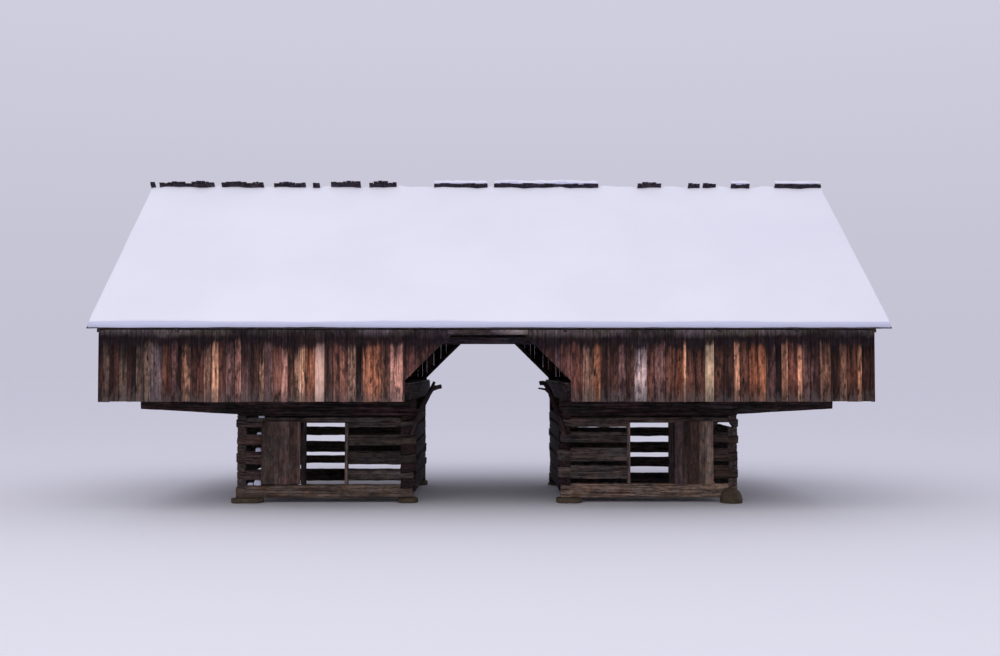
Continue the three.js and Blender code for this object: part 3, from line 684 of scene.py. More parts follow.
def lapHeights(level, course, cornerX, side, own):
    # Faces of the notch of a front or back log (own "x") or a side log (own "y") at one corner
    inwardX = inwardOf(cornerX)
    innerX = cornerX + inwardX * pen["thickness"]
    innerY = side * (pen["halfDepth"] - pen["thickness"])
    front = coursesOf(cornerX, side)
    sides = pen["sideCourses"]
    keep = drivewayFront(cornerX, side, pen["fullEnds"], 0.5)  # a front log's share of its own height

    def alongX(height):  # a joint under a side log slopes along X
        return lambda p: height + cornerSlope((innerX - p.x) * inwardX)

    def alongY(height):  # a joint under a front log slopes along Y
        return lambda p: height + cornerSlope((p.y - innerY) * side)

    if own == "x":
        low = alongY(lapLevel(sides[level - 1], front[level], 1 - keep)) if level else lambda p: front[0][0]
        high = alongX(lapLevel(front[level], sides[level], keep) - pen["lapGap"])
        return low, high
    low = alongX(lapLevel(front[level], sides[level], keep))
    if level + 1 < len(front):
        high = alongY(lapLevel(sides[level], front[level + 1], 1 - keep) - pen["lapGap"])
    else:
        high = lambda p: pen["topZ"]
    return low, high


def nose():  # how far a front or back log's end stands past the corner
    return penRng.uniform(*pen["nose"])


def flareOf(x, side):  # the driveway logs' front ends are hewn wider than the logs
    return drivewayFront(x, side, pen["flare"], 0)


def roundEnd(log, endX, middleZ):  # wears the upper and lower corners off the end with the lower X
    radius = pen["roundEnd"]
    away = lambda p: (p.x - endX) / radius
    cutAt(log, "x", *(endX + share * radius for share in (0.15, 0.4, 0.7)))
    for v in log.data.vertices:
        if away(v.co) < 1:
            worn = pen["roundness"] * (1 - max(away(v.co), 0)) ** 2
            v.co.z = middleZ + (v.co.z - middleZ) * math.sqrt(1 - worn)
    # Painted highlight: the rounded end is lightened
    tint(log, pen["roundEndHighlight"], lambda p: away(p) < 0.5)


def frontLog(s, side, level, ends):
    # A log of a front or back wall between two distances from the middle; an end at a corner is notched
    near, far = ends
    course = coursesOf(s, side)[level]
    middleZ = (course[0] + course[1]) / 2
    atNear = near == pen["innerX"]
    atFar = far == pen["outerX"]
    past = nose()
    if side < 0:
        past = pen["innerNose"][handOf(s)][level] + past / 2
    x0 = near - (past if atNear else 0)
    x1 = far + (nose() if atFar else 0)
    log = fitLog(x1 - x0, *course)
    if 0 < level < 4:
        log.data.transform(Matrix.Rotation(penRng.uniform(-pen["lean"], pen["lean"]), 4, "Y"))
    y = side * (pen["halfDepth"] - pen["thickness"] / 2 - pen["setBack"])
    log.data.transform(onX((s * (x0 + x1) / 2, y, middleZ)))
    if atNear:
        low, high = lapHeights(level, course, s * pen["innerX"], side, "x")
        shoulder = s * (pen["innerX"] + pen["thickness"] + flareOf(s, side))
        notchEnd(log, course, "x", shoulder, -s, low, high)
        if s > 0 and side < 0 and 0 < level < 4:
            roundEnd(log, x0, middleZ)
    if atFar:
        low, high = lapHeights(level, course, s * pen["outerX"], side, "x")
        notchEnd(log, course, "x", s * (pen["outerX"] - pen["thickness"]), s, low, high)
    return log


def sideLog(cornerX, level, swell):
    low, high = pen["sideCourses"][level]
    course = (low - swell, min(high + swell, pen["topZ"] - 0.002))
    y0 = -pen["halfDepth"] - penRng.uniform(*pen["sideNose"])
    y1 = pen["halfDepth"] + penRng.uniform(*pen["sideNose"])
    log = fitLog(y1 - y0, *course)
    x = cornerX + inwardOf(cornerX) * pen["thickness"] / 2
    log.data.transform(onY((x, (y0 + y1) / 2, (course[0] + course[1]) / 2)))
    for side in (-1, 1):
        notch = lapHeights(level, course, cornerX, side, "y")
        shoulder = side * (pen["halfDepth"] - pen["thickness"])
        notchEnd(log, course, "y", shoulder, side, *notch)
        flare = flareOf(cornerX, side) / pen["thickness"]
        for v in log.data.vertices:
            if (v.co.y - shoulder) * side > pen["seam"] / 2:
                v.co.x += (v.co.x - cornerX) * flare
    return log


jambWear = {**sawnWear, "edge": 0.008, "segment": 0.12, "depth": 0.008}


def jambPlank(x0, x1, z0, z1, tone):
    plank = timber(z1 - z0, abs(x1 - x0), pen["thickness"], jambWear, penRng)
    markGrain(plank, tone, penRng, (0.1, 0.04))
    plank.data.transform(onZ(((x0 + x1) / 2, -pen["halfDepth"] + pen["thickness"] / 2, (z0 + z1) / 2)))
    return paint(plank, logWood)


def buildPen(hand, s):
    name = f"{hand}_pen"
    whole = (pen["innerX"], pen["outerX"])
    innerEnd, innerReveal = pen["innerJamb"]
    outerEnd = pen["outerJamb"][1]

    def finishLogs(logs, newName, node):
        finishPiece(logs, f"{name}_{newName}", "pen_log", f"{name}_{node}")

    sill = frontLog(s, -1, 0, whole)
    tint(sill, pen["sillTone"][hand])
    finishLogs([sill], "front_hewn_sill", "front_sill_log")
    inner = [frontLog(s, -1, level, (pen["innerX"], innerEnd)) for level in (1, 2, 3)]
    for log, tone in zip(inner, pen["innerTones"][hand]):
        tint(log, tone)
    sillTop = coursesOf(s, -1)[0][1]
    inner.append(jambPlank(s * innerEnd, s * innerReveal, sillTop, pen["doorTopZ"], pen["innerJambTone"]))
    outer = [frontLog(s, -1, level, (outerEnd, pen["outerX"])) for level in (1, 2, 3)]
    for log in outer:
        tint(log, pen["outerTones"][hand])
    finishLogs(inner, "front_inner_logs", "front_inner_bay")
    finishLogs(outer, "front_outer_logs", "front_outer_bay")
    top = frontLog(s, -1, 4, whole)
    for edge in (innerEnd, outerEnd):
        cutAt(top, "x", s * (edge + pen["seam"]), s * (edge - pen["seam"]))
    raiseUnderside(top, lambda p: innerEnd < abs(p.x) < outerEnd, pen["doorTopZ"])
    if s > 0:
        start, end, height = pen["wornTop"]
        raiseUnderside(top, lambda p: start < p.x < end, height)
    finishLogs([top], "front_hewn_top_log", "front_top_log")
    finishLogs([frontLog(s, 1, level, whole) for level in range(5)], "back_logs", "back_wall")
    finishLogs([sideLog(s * pen["outerX"], level, 0) for level in range(5)], "outer_logs", "outer_wall")
    driveway = [sideLog(s * pen["innerX"], level, pen["swell"]) for level in range(5)]
    # Painted shade: the driveway walls' logs are darkened for the deep shade under the loft; their front ends are
    # lifted out of part of it
    for log in driveway:
        tint(log, pen["shade"][hand])
        tint(log, pen["endShade"][hand], lambda p: p.y < -pen["halfDepth"] + 0.03)
    finishLogs(driveway, "driveway_logs", "driveway_wall")


for hand, s in hands:
    buildPen(hand, s)
print("pens built")

# Doors, jambs and their iron

door = {
    "hingeX": 4.6, "hingeY": -2.44, "leafStart": 4.667, "leafEnd": 5.64, "bottomZ": 0.462, "topZ": 2.03,
    "board": 0.025, "ledge": 0.025, "ledgeHeight": 0.13, "ledgeInset": 0.045, "ledgeZ": (0.76, 1.74),
    "knuckle": 0.02, "knuckleWall": 0.0095, "knuckleHeight": 0.05, "pin": 0.009, "pinHeight": 0.062,
    "arm": 0.03, "armHeight": 0.016, "rise": 0.0003, "strapLength": 0.46, "strapHeight": 0.042,
    "strap": 0.004, "link": 0.008, "linkLap": 0.03, "seam": 0.004, "thinner": 0.001, "uneven": 0.012,
    "ledgeTone": (0.95, 0.9, 0.88), "nail": 0.007, "nails": (0.08, 0.2, 0.32, 0.44), "armRoot": 0.02,
    # From the hinge outwards: width and tone of each board
    "left": (
        (0.075, (1.9, 1.8, 1.75)), (0.2, (0.87, 0.78, 0.76)), (0.26, (1.2, 1.12, 1.1)),
        (0.22, (1.15, 1.14, 1.1)), (0.22, (0.9, 0.92, 0.88)),
    ),
    "right": (
        (0.21, (0.92, 0.85, 0.97)), (0.18, (0.58, 0.54, 0.52)), (0.22, (0.8, 0.68, 0.62)),
        (0.15, (1.5, 1.5, 1.35)), (0.21, (2.35, 2.35, 2.1)),
    ),
}
doorRng = random.Random(37)


def ironBar(length, width, height, matrix):
    bar = timber(length, width, height, barWear, doorRng)
    bar.data.transform(matrix)
    return paint(bar, rustyIron)


def ironPin(radius, length, middle, hollow=0):
    bpy.ops.object.select_all(action="DESELECT")
    ends = "NOTHING" if hollow else "NGON"
    bpy.ops.mesh.primitive_cylinder_add(vertices=20, radius=radius, depth=length, end_fill_type=ends)
    pin = bpy.context.object
    if hollow:
        wall = pin.modifiers.new("wall", "SOLIDIFY")
        wall.thickness = hollow
        wall.offset = -1
        applyModifier(pin, wall)
    pin.data.transform(Matrix.Translation(middle))
    return paint(pin, rustyIron)


def lyingPin(radius, length):  # along Y
    pin = ironPin(radius, length, (0, 0, 0))
    pin.data.transform(Matrix.Rotation(math.pi / 2, 4, "X"))
    return pin


def doorPlank(length, width, thickness, tone, pith, matrix):
    plank = timber(length, width, thickness, boardWear, doorRng)
    if pith is None:
        pith = (doorRng.uniform(-0.1, 0.1), 0.06)
    markGrain(plank, tone, doorRng, pith)
    plank.data.transform(matrix)
    return paint(plank, doorWood)


def doorLedge(s, z):  # a ledge behind the boards with its iron strap, its knuckle and its nails
    y = door["hingeY"]
    start = door["leafStart"]
    length = door["leafEnd"] - door["ledgeInset"] - start
    middle = (s * (start + length / 2), y + door["ledge"] / 2, z)
    size = (length, door["ledge"] - door["thinner"], door["ledgeHeight"])
    parts = [doorPlank(*size, door["ledgeTone"], (0.1, 0.05), onX(middle))]
    linkStart = door["hingeX"] + door["knuckle"] - door["knuckleWall"] / 2
    linkLength = start + door["linkLap"] - linkStart
    link = onX((s * (linkStart + linkLength / 2), y, z))
    parts.append(ironBar(linkLength, door["link"], door["strapHeight"], link))
    strapY = y + door["ledge"] + door["strap"] / 2 - 0.0005
    strap = onX((s * (start + door["strapLength"] / 2 + 0.002), strapY, z))
    parts.append(ironBar(door["strapLength"], door["strap"], door["strapHeight"], strap))
    axis = (s * door["hingeX"], y, z)
    parts.append(ironPin(door["knuckle"], door["knuckleHeight"], axis, door["knuckleWall"]))
    for step in door["nails"]:
        nail = lyingPin(door["nail"], door["nail"])
        nail.data.transform(Matrix.Translation((s * (start + step), strapY + 0.002, z)))
        parts.append(nail)
    return parts


def buildDoor(hand, s):
    height = door["topZ"] - door["bottomZ"]
    y = door["hingeY"] - door["board"] / 2
    parts = []
    cursor = door["leafStart"]
    scale = (door["leafEnd"] - door["leafStart"]) / sum(width for width, _ in door[hand])
    for width, tone in door[hand]:
        width *= scale
        drop = doorRng.uniform(0, door["uneven"])
        size = (height - drop, width - door["seam"], door["board"] - door["thinner"])
        middle = (s * (cursor + width / 2), y, door["bottomZ"] + height / 2 + drop / 2)
        parts.append(doorPlank(*size, tone, None, onZ(middle)))
        cursor += width
    for z in door["ledgeZ"]:
        parts += doorLedge(s, z)
    name = f"{hand}_pen_board_door"
    finishPiece(parts, name, "door_boards", f"{hand}_pen_door", body=f"{hand}_door", angle=40)


def buildJamb(hand, s):
    near, far = (s * x for x in pen["outerJamb"])
    parts = [jambPlank(near, far, coursesOf(s, -1)[0][1], pen["doorTopZ"], pen["outerJambTone"])]
    x, y = s * door["hingeX"], door["hingeY"]
    root = -pen["halfDepth"] + door["armRoot"]
    reach = root - y + door["arm"] / 2
    for z in door["ledgeZ"]:
        base = z - door["knuckleHeight"] / 2 - door["rise"]
        middle = (x, root - reach / 2, base - door["armHeight"] / 2)
        parts.append(ironBar(reach, door["arm"], door["armHeight"], onY(middle)))
        parts.append(ironPin(door["pin"], door["pinHeight"], (x, y, base + door["pinHeight"] / 2)))
    finishPiece(parts, f"{hand}_pen_hinge_jamb", "pen_log", f"{hand}_pen_door_jamb", angle=40)


for hand, s in hands:
    buildDoor(hand, s)
    buildJamb(hand, s)
print("doors built")

# Cantilever beams and cross beams

beam = {
    "topZ": 2.578, "width": 0.27, "tipX": 8.66, "tipBottomZ": 2.34, "shoulderZ": 2.205,
    "crossTopZ": 2.978, "crossTipBottomZ": 2.64, "tipY": 4.97, "step": 0.006, "inset": 0.003,
    "spread": 0.1, "endReach": 0.005, "endTop": 0.11,
    "endTone": (0.35, 0.322, 0.385), "endTopTone": (1.1, 1.012, 1.21),
}
beamWear = {**hewnWear, "edge": 0.03, "end": 0.01, "segment": 0.13, "depth": 0.024, "stretch": 4}
beamRng = random.Random(41)


def liftUnderside(piece, oldBottom, oldTop, newBottom):
    # Squeezes the height so that the underside follows newBottom, the top staying in place
    for v in piece.data.vertices:
        share = (v.co.z - oldBottom) / (oldTop - oldBottom)
        bottom = newBottom(v.co)
        v.co.z = bottom + share * (oldTop - bottom)


def cantileverBottom(p):
    x = abs(p.x)
    if x < pen["outerX"] + beam["step"] / 3:
        return pen["topZ"]
    share = (x - pen["outerX"]) / (beam["tipX"] - pen["outerX"])
    return beam["shoulderZ"] + share * (beam["tipBottomZ"] - beam["shoulderZ"])


def crossBottom(p):
    share = max(abs(p.y) - pen["halfDepth"], 0) / (beam["tipY"] - pen["halfDepth"])
    return beam["topZ"] + share * (beam["crossTipBottomZ"] - beam["topZ"])


def buildCantilever(wall, side, hand, s):
    length = beam["tipX"] - pen["innerX"]
    height = beam["topZ"] - pen["topZ"]
    y = side * (pen["halfDepth"] - beam["width"] / 2 - beam["inset"])
    place = onX((s * (pen["innerX"] + length / 2), y, pen["topZ"] + height / 2))
    piece = member((length, beam["width"], height), beamWear, beam["spread"], beamRng, place, beamWood)
    cutAt(piece, "x", s * pen["outerX"], s * (pen["outerX"] + beam["step"]))
    liftUnderside(piece, pen["topZ"], beam["topZ"], cantileverBottom)
    finishPiece([piece], f"{wall}_{hand}_hewn_cantilever", "beam", f"{wall}_{hand}_cantilever_beam")


def buildCrossBeam(hand, spot):
    node = f"{hand}_{spot}_cross_beam"
    low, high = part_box(node)

    def toneAt(p, tone):  # the ends are darker, and paler along their top
        if abs(p.y) < beam["tipY"] - beam["endReach"]:
            return tone
        return beam["endTopTone"] if p.z > high.z - beam["endTop"] else beam["endTone"]

    width, length, height = high - low
    place = onY((low + high) / 2)
    piece = member((length, width, height), beamWear, beam["spread"], beamRng, place, beamWood)
    cutAt(piece, "y", -pen["halfDepth"], pen["halfDepth"])
    liftUnderside(piece, low.z, high.z, crossBottom)
    setTone(piece, toneAt)
    finishPiece([piece], f"{hand}_{spot}_hewn_cross_beam", "beam", node)


for hand, s in hands:
    for wall, side in walls:
        buildCantilever(wall, side, hand, s)
    for spot in ("driveway", "outer", "gable"):
        buildCrossBeam(hand, spot)
print("beams built")

# Loft floors: planks across the joists, butted over them

loft = {
    "floorZ": 2.978, "floor": 0.04, "joistLines": (-4.1, -1.4, 1.4, 4.1), "joistHeight": 0.12,
    "joistWidth": 0.11, "crossWidth": 0.22, "gableCrossX": 8.57, "plankWidths": (0.17, 0.29), "gap": 0.006,
    "wallX": 8.85, "wallY": 4.97, "frameDepth": 0.12, "model": (2.8, 0.23), "thinner": 0.006,
    "seams": ((-1.4, 1.4), (-4.1, 0, 4.1)), "endGap": 0.003, "edgeGap": 0.004, "clearance": 0.002,
    "plankSpread": 0.2, "joistSpread": 0.15,
}
floorRng = random.Random(53)


def splitSpan(start, end, narrow, wide, rng):  # widths that fill a span
    count = max(1, round((end - start) / ((narrow + wide) / 2)))
    shares = [rng.uniform(narrow, wide) for _ in range(count)]
    scale = (end - start) / sum(shares)
    edges = [start]
    for share in shares:
        edges.append(edges[-1] + share * scale)
    edges[-1] = end
    return list(zip(edges, edges[1:]))


def markRim(board, length, width, level):  # the distance from the wall's top, how near the edges are, level
    rim = board.data.attributes.new("rim", "FLOAT_VECTOR", "POINT")
    values = []
    for v in board.data.vertices:
        below = width / 2 - v.co.y if level else length / 2 - v.co.x
        values += [below, abs(v.co.y) / (width / 2), 1 if level else 0]
    rim.data.foreach_set("vector", values)


def layPlank(model, size, length, width, matrix, tone, rng, material, level=False):
    plank = copyOf(model)
    plank.data.transform(Matrix.Diagonal((length / size[0], width / size[1], 1, 1)))
    markGrain(plank, tone, rng, (rng.uniform(-0.2, 0.2), rng.uniform(0.03, 0.2)))
    if material == sidingWood:
        markRim(plank, length, width, level)
    plank.data.transform(matrix)
    return paint(plank, material)


def buildFloor(hand, s):
    reach = loft["wallY"] - loft["frameDepth"] - loft["clearance"]
    thickness = loft["floor"] - loft["thinner"]
    models = [timber(*loft["model"], thickness, boardWear, floorRng) for _ in range(3)]
    start, end = pen["innerX"] + loft["edgeGap"], loft["wallX"] - loft["edgeGap"]
    rows = splitSpan(start, end, *loft["plankWidths"], floorRng)
    parts = []
    for i, (x0, x1) in enumerate(rows):
        stops = (-reach, *loft["seams"][i % 2], reach)
        for y0, y1 in zip(stops, stops[1:]):
            middle = (s * (x0 + x1) / 2, (y0 + y1) / 2, loft["floorZ"] + loft["floor"] / 2)
            parts.append(layPlank(
                floorRng.choice(models), loft["model"], y1 - y0 - loft["endGap"], x1 - x0 - loft["gap"],
                onY(middle), shadeOf(floorRng, loft["plankSpread"]), floorRng, floorWood,
            ))
    cross = loft["crossWidth"]
    bays = ((pen["innerX"] + cross, pen["outerX"] - cross), (pen["outerX"], loft["gableCrossX"]))
    z = loft["floorZ"] - loft["joistHeight"] / 2 + loft["clearance"]
    for y in loft["joistLines"]:
        for near, far in bays:
            size = (far - near - loft["edgeGap"], loft["joistWidth"], loft["joistHeight"])
            place = onX((s * (near + far) / 2, y, z))
            parts.append(member(size, sawnWear, loft["joistSpread"], floorRng, place, floorWood))
    discard(*models)
    finishPiece(parts, f"{hand}_loft_planks", "loft_floor", f"{hand}_loft_floor")


for hand, s in hands:
    buildFloor(hand, s)
print("loft floors built")

# Loft wall frames

drive = {"halfWidth": 1.9, "cornerZ": 3.07, "topZ": 4.12, "topHalfWidth": 0.835, "brace": 0.11}
wallFrame = {
    "post": 0.12, "rail": 0.12, "posts": (1.96, 3.32, 4.68, 6.04, 7.4, 8.79), "thinner": 0.004, "lap": 0.004,
    "clearance": 0.002, "braceSeat": 0.003, "spread": 0.12,
}
frameWear = {**sawnWear, "segment": 0.16}
frameRng = random.Random(61)


def driveSlope(x):
    rise = (drive["topZ"] - drive["cornerZ"]) / (drive["halfWidth"] - drive["topHalfWidth"])
    return drive["cornerZ"] + (drive["halfWidth"] - x) * rise


def buildWallFrame(wall, side, hand, s):
    depth = loft["frameDepth"] - wallFrame["thinner"]
    y = side * (loft["wallY"] - loft["frameDepth"] / 2)

    def framePiece(size, matrix):
        return member(size, frameWear, wallFrame["spread"], frameRng, matrix, frameWood)

    rail = loft["wallX"] - drive["halfWidth"]
    railZ = beam["crossTopZ"] + wallFrame["rail"] / 2
    railPlace = onX((s * (drive["halfWidth"] + rail / 2), y, railZ))
    parts = [framePiece((rail, depth, wallFrame["rail"]), railPlace)]
    foot = beam["crossTopZ"] + wallFrame["rail"] - wallFrame["lap"]
    head = drive["topZ"] - wallFrame["clearance"]
    for x in wallFrame["posts"]:
        place = onZ((s * x, y, (foot + head) / 2))
        parts.append(framePiece((head - foot, wallFrame["post"], depth), place))
    # The slanted brace along the drive opening
    footX = drive["halfWidth"] + wallFrame["post"] / 4
    start = Vector((s * footX, y, driveSlope(footX)))
    end = Vector((s * drive["topHalfWidth"], y, drive["topZ"]))
    along = (end - start).normalized()
    upward = (Vector((0, 0, 1)) - along * along.z).normalized()
    middle = (start + end) / 2 + upward * (drive["brace"] / 2 + wallFrame["braceSeat"])
    place = framed(along, upward.cross(along), upward, middle)
    brace = framePiece(((end - start).length + 4 * drive["brace"], depth, drive["brace"]), place)
    cutAcross(brace, (0, 0, head), (0, 0, 1), True)
    cutAcross(brace, (s * footX, 0, 0), (s, 0, 0), True)
    parts.append(brace)
    finishPiece(parts, f"{wall}_{hand}_loft_posts", "framing", f"{wall}_{hand}_loft_frame")


for wall, side in walls:
    for hand, s in hands:
        buildWallFrame(wall, side, hand, s)
print("loft frames built")

# Board walls

tones = {
    "black": linear(40, 30, 30), "dark": linear(72, 50, 45), "brown": linear(100, 68, 58),
    "redBrown": linear(115, 76, 66), "mauve": linear(106, 79, 76), "tan": linear(140, 106, 90),
    "rust": linear(138, 88, 68), "grey": linear(116, 102, 104), "silver": linear(166, 148, 147),
    "cream": linear(220, 192, 160), "orange": linear(168, 112, 84), "pinkTan": linear(176, 126, 113),
    "peach": linear(200, 150, 122), "pink": linear(227, 180, 161), "olive": linear(108, 91, 82),
}
commonTones = ["brown"] * 7 + ["redBrown"] * 4 + ["mauve"] * 4 + ["dark"] * 4 + ["rust"] * 2 + ["tan"]
greyTones = ["mauve"] * 2 + ["olive"] * 5 + ["dark"] * 2 + ["brown"]
# Boards that stand out on the front wall: start, end and tone
frontBoards = [
    (-8.78, -8.62, "olive"), (-8.4, -8.22, "olive"), (-8.13, -8.02, "black"), (-7.68, -7.43, "grey"),
    (-7.06, -6.98, "black"), (-6.96, -6.78, "tan"), (-6.48, -6.31, "tan"), (-6.3, -6.14, "peach"),
    (-5.77, -5.63, "pinkTan"), (-5.21, -5.11, "tan"), (-4.71, -4.57, "pinkTan"), (-4.42, -4.3, "tan"),
    (-4.3, -4.17, "peach"), (-3.95, -3.73, "pink"), (-3.2, -3.03, "tan"), (-3.01, -2.89, "black"),
    (-2.86, -2.62, "rust"), (-2.24, -1.94, "pinkTan"), (1.92, 2.12, "redBrown"), (2.16, 2.42, "tan"),
    (2.42, 2.58, "orange"), (3.35, 3.65, "silver"), (4.3, 4.48, "rust"), (4.48, 4.54, "peach"),
    (4.97, 5.18, "cream"), (5.64, 5.77, "peach"), (5.99, 6.18, "rust"), (6.18, 6.38, "orange"),
    (6.6, 6.71, "black"), (6.73, 6.88, "peach"), (7.1, 7.21, "peach"), (8.06, 8.24, "tan"),
    (8.48, 8.58, "peach"),
]
siding = {
    "bottomZ": 2.578, "topZ": 4.23, "thickness": 0.024, "outer": 5.0, "wallX": 8.88, "widths": (0.12, 0.26),
    "model": (1.65, 0.19), "gap": (0.001, 0.0035), "uneven": 0.016, "setBack": 0.005,
    "nailRows": (3.04, 4.17), "nailPlaces": (0.25, 0.75), "nailWander": 0.012, "nail": (0.0055, 0.004),
    "greyEndX": -7.4, "brightness": (0.88, 1.12), "inset": 0.002, "turn": 0.0016,
    # Over the drive opening
    "headBoard": 0.92, "headTones": ["redBrown", "brown", "mauve"], "headLap": 0.1, "headInset": 0.003,
    "headGap": 0.006, "overDrive": (0.6, 0.62, 0.72),
    # Tone by place along the wall
    "cast": [
        (-8.9, (0.75, 0.74, 0.73)), (-7, (0.75, 0.74, 0.73)), (-5, (0.88, 0.95, 0.95)),
        (-3.6, (1.02, 1.12, 1.13)), (-2, (0.98, 1.07, 1.08)), (2, (1.07, 1.1, 1.1)), (5, (0.9, 0.89, 0.88)),
        (7.5, (0.73, 0.69, 0.66)), (8.9, (0.57, 0.53, 0.5)),
    ],
}
sidingWear = {**boardWear, "segment": 0.2, "depth": 0.005, "stretch": 6}
sidingRng = random.Random(71)
sidingModels = [timber(*siding["model"], siding["thickness"], sidingWear, sidingRng) for _ in range(4)]


def boardSpans(x0, x1, chosen):  # start, end and tone; where no board is chosen the tone is left open
    spans = []
    cursor = x0
    inside = [board for board in chosen if board[0] >= x0 and board[1] <= x1]
    for start, end, tone in inside + [(x1, x1, None)]:
        spans += [(a, b, None) for a, b in splitSpan(cursor, start, *siding["widths"], sidingRng)]
        spans.append((start, end, tone))
        cursor = end
    return spans[:-1]


def castAt(a):  # the wall is darker towards its two ends and paler in its left half
    places = siding["cast"]
    for (x0, first), (x1, second) in zip(places, places[1:]):
        if x0 <= a <= x1:
            share = (a - x0) / (x1 - x0)
            return [v0 + (v1 - v0) * share for v0, v1 in zip(first, second)]
    return (1, 1, 1)


def toneOf(name, a, rng):
    value = rng.uniform(*siding["brightness"])
    return tuple(c * value * cast for c, cast in zip(tones[name], castAt(a)))


def upBoard(a, b, z0, z1, toneName, frameFor):  # an upright board between a and b along the wall
    gap = sidingRng.uniform(*siding["gap"])
    z0 += sidingRng.uniform(0, siding["uneven"])
    turn = Matrix.Rotation(sidingRng.uniform(-siding["turn"], siding["turn"]), 4, "Z")
    matrix = frameFor((a + b) / 2, sidingRng.uniform(0, siding["setBack"]), (z0 + z1) / 2) @ turn
    return layPlank(
        sidingRng.choice(sidingModels), siding["model"], z1 - z0, b - a - gap, matrix,
        toneOf(toneName, a, sidingRng), sidingRng, sidingWood,
    )


def nailHeads(spans, y):
    heads = []
    model = lyingPin(*siding["nail"])
    wander = siding["nailWander"]
    for a, b, _ in spans:
        for row in siding["nailRows"]:
            for share in siding["nailPlaces"]:
                head = copyOf(model)
                z = row + sidingRng.uniform(-wander, wander)
                head.data.transform(Matrix.Translation((a + (b - a) * share, y, z)))
                heads.append(head)
    discard(model)
    return heads


def frontFrame(side):
    y = siding["outer"] - siding["thickness"] / 2 - siding["inset"]
    return lambda a, setBack, z: onZ((a, side * (y - setBack), z))


def gableFrame(s):
    x = siding["wallX"] - siding["thickness"] / 2 - siding["inset"]
    return lambda a, setBack, z: onZFacingX((s * (x - setBack), a, z))


def buildLongBoards(wall, side, hand, s):
    chosen = frontBoards if wall == "front" else []
    greyFrom = siding["greyEndX"] if wall == "front" else -math.inf
    place = frontFrame(side)
    x0, x1 = sorted((s * drive["halfWidth"], s * siding["wallX"]))
    spans = boardSpans(x0, x1, chosen)
    parts = []
    for a, b, tone in spans:
        tone = tone or sidingRng.choice(greyTones if a < greyFrom else commonTones)
        parts.append(upBoard(a, b, siding["bottomZ"], siding["topZ"], tone, place))
    parts += nailHeads(spans, side * siding["outer"])
    finishPiece(parts, f"{wall}_{hand}_weathered_boards", "siding", f"{wall}_{hand}_board_wall")


def buildDriveHead(wall, side):
    # Over the drive opening: short boards cut on the slant, and one level board along the top
    rise = drive["topZ"] - drive["cornerZ"]
    run = drive["halfWidth"] - drive["topHalfWidth"]
    parts = []
    for hand, s in hands:
        x0, x1 = sorted((s * siding["headBoard"], s * drive["halfWidth"]))
        short = []
        for a, b, _ in boardSpans(x0, x1, []):
            tone = sidingRng.choice(siding["headTones"])
            foot = drive["cornerZ"] - siding["headLap"]
            short.append(upBoard(a, b, foot, siding["topZ"], tone, frontFrame(side)))
            tint(short[-1], siding["overDrive"])
        slanted = joinAll(short, "slanted")
        cutAcross(slanted, (s * drive["halfWidth"], 0, drive["cornerZ"]), (-s * rise, 0, -run), True)
        parts.append(slanted)
    width = siding["topZ"] - drive["topZ"]
    y = side * (siding["outer"] - siding["thickness"] / 2 - siding["headInset"])
    parts.append(layPlank(
        sidingModels[0], siding["model"], 2 * siding["headBoard"] - siding["headGap"], width,
        framed((1, 0, 0), (0, 0, 1), (0, -1, 0), (0, y, drive["topZ"] + width / 2)),
        tones["dark"], sidingRng, sidingWood, level=True,
    ))
    finishPiece(parts, f"{wall}_drive_head_weathered_boards", "siding", f"{wall}_drive_head_boards")


for wall, side in walls:
    for hand, s in hands:
        buildLongBoards(wall, side, hand, s)
    buildDriveHead(wall, side)
print("board walls built")

# Roof

roof = {
    "halfLength": 9.13, "halfDepth": 5.3, "eaveZ": 4.28, "pitch": math.radians(36.5), "shakes": 0.06,
    "rafterDepth": 0.13, "rafterWidth": 0.08, "rafters": 11, "rafterSpare": 0.4, "rafterSpread": 0.15,
    "tailY": 5.2, "tailStep": 0.006, "tailGap": 0.03, "ridgeGap": 0.002, "plate": 0.15, "plateTopZ": 4.32,
    "plateSpread": 0.1, "backPlatePaintedLight": (5.0, 5.4, 7.5), "gableGap": 0.004, "gableInset": 0.03,
    "lath": 0.025, "lathHalf": 9.1, "laths": 16, "lathFirst": 5.19, "lathLast": 0.2, "lathWidth": 0.1,
    "lathWidths": (0.85, 1.1), "lathModel": (3.5, 0.1), "lathLengths": (3.0, 4.5), "lathThinner": 0.002,
    "lathGap": 0.01, "lathTurn": 0.003, "lathSpread": 0.2,
    "course": 0.41, "shakeLength": 0.84, "shakeThickness": 0.018, "eaveSlip": 0.065, "eaveCourse": 0.5,
    "shakeWidths": (0.09, 0.19), "shakeGap": (0.002, 0.012), "shakeSpread": 0.3, "headThickness": 0.008,
    "headWidth": 0.97, "base": 0.0005, "layers": 2, "slide": 0.012, "lift": 0.002, "ridgeClear": 0.2,
    "buttGap": 0.012, "underRidge": 0.01, "starterHeight": 0.3, "starterGap": 0.02,
}
plumb = 1 / math.cos(roof["pitch"])
pitchRise = math.tan(roof["pitch"])
ridgeZ = roof["eaveZ"] + roof["halfDepth"] * pitchRise
slopeLength = roof["halfDepth"] * plumb
lathTop = -roof["shakes"] - 0.0003
lathBottom = lathTop - roof["lath"]
roofRng = random.Random(83)


def roofZ(u, layer=0.0):
    return ridgeZ - u * pitchRise + layer * plumb


def slopeFrame(side):  # local X along the ridge, Y up the slope, Z out of the roof; the origin on the ridge
    turn = Matrix.Rotation(roof["pitch"], 4, "X")
    if side > 0:
        turn = Matrix.Rotation(math.pi, 4, "Z") @ turn
    return Matrix.Translation((0, 0, ridgeZ)) @ turn


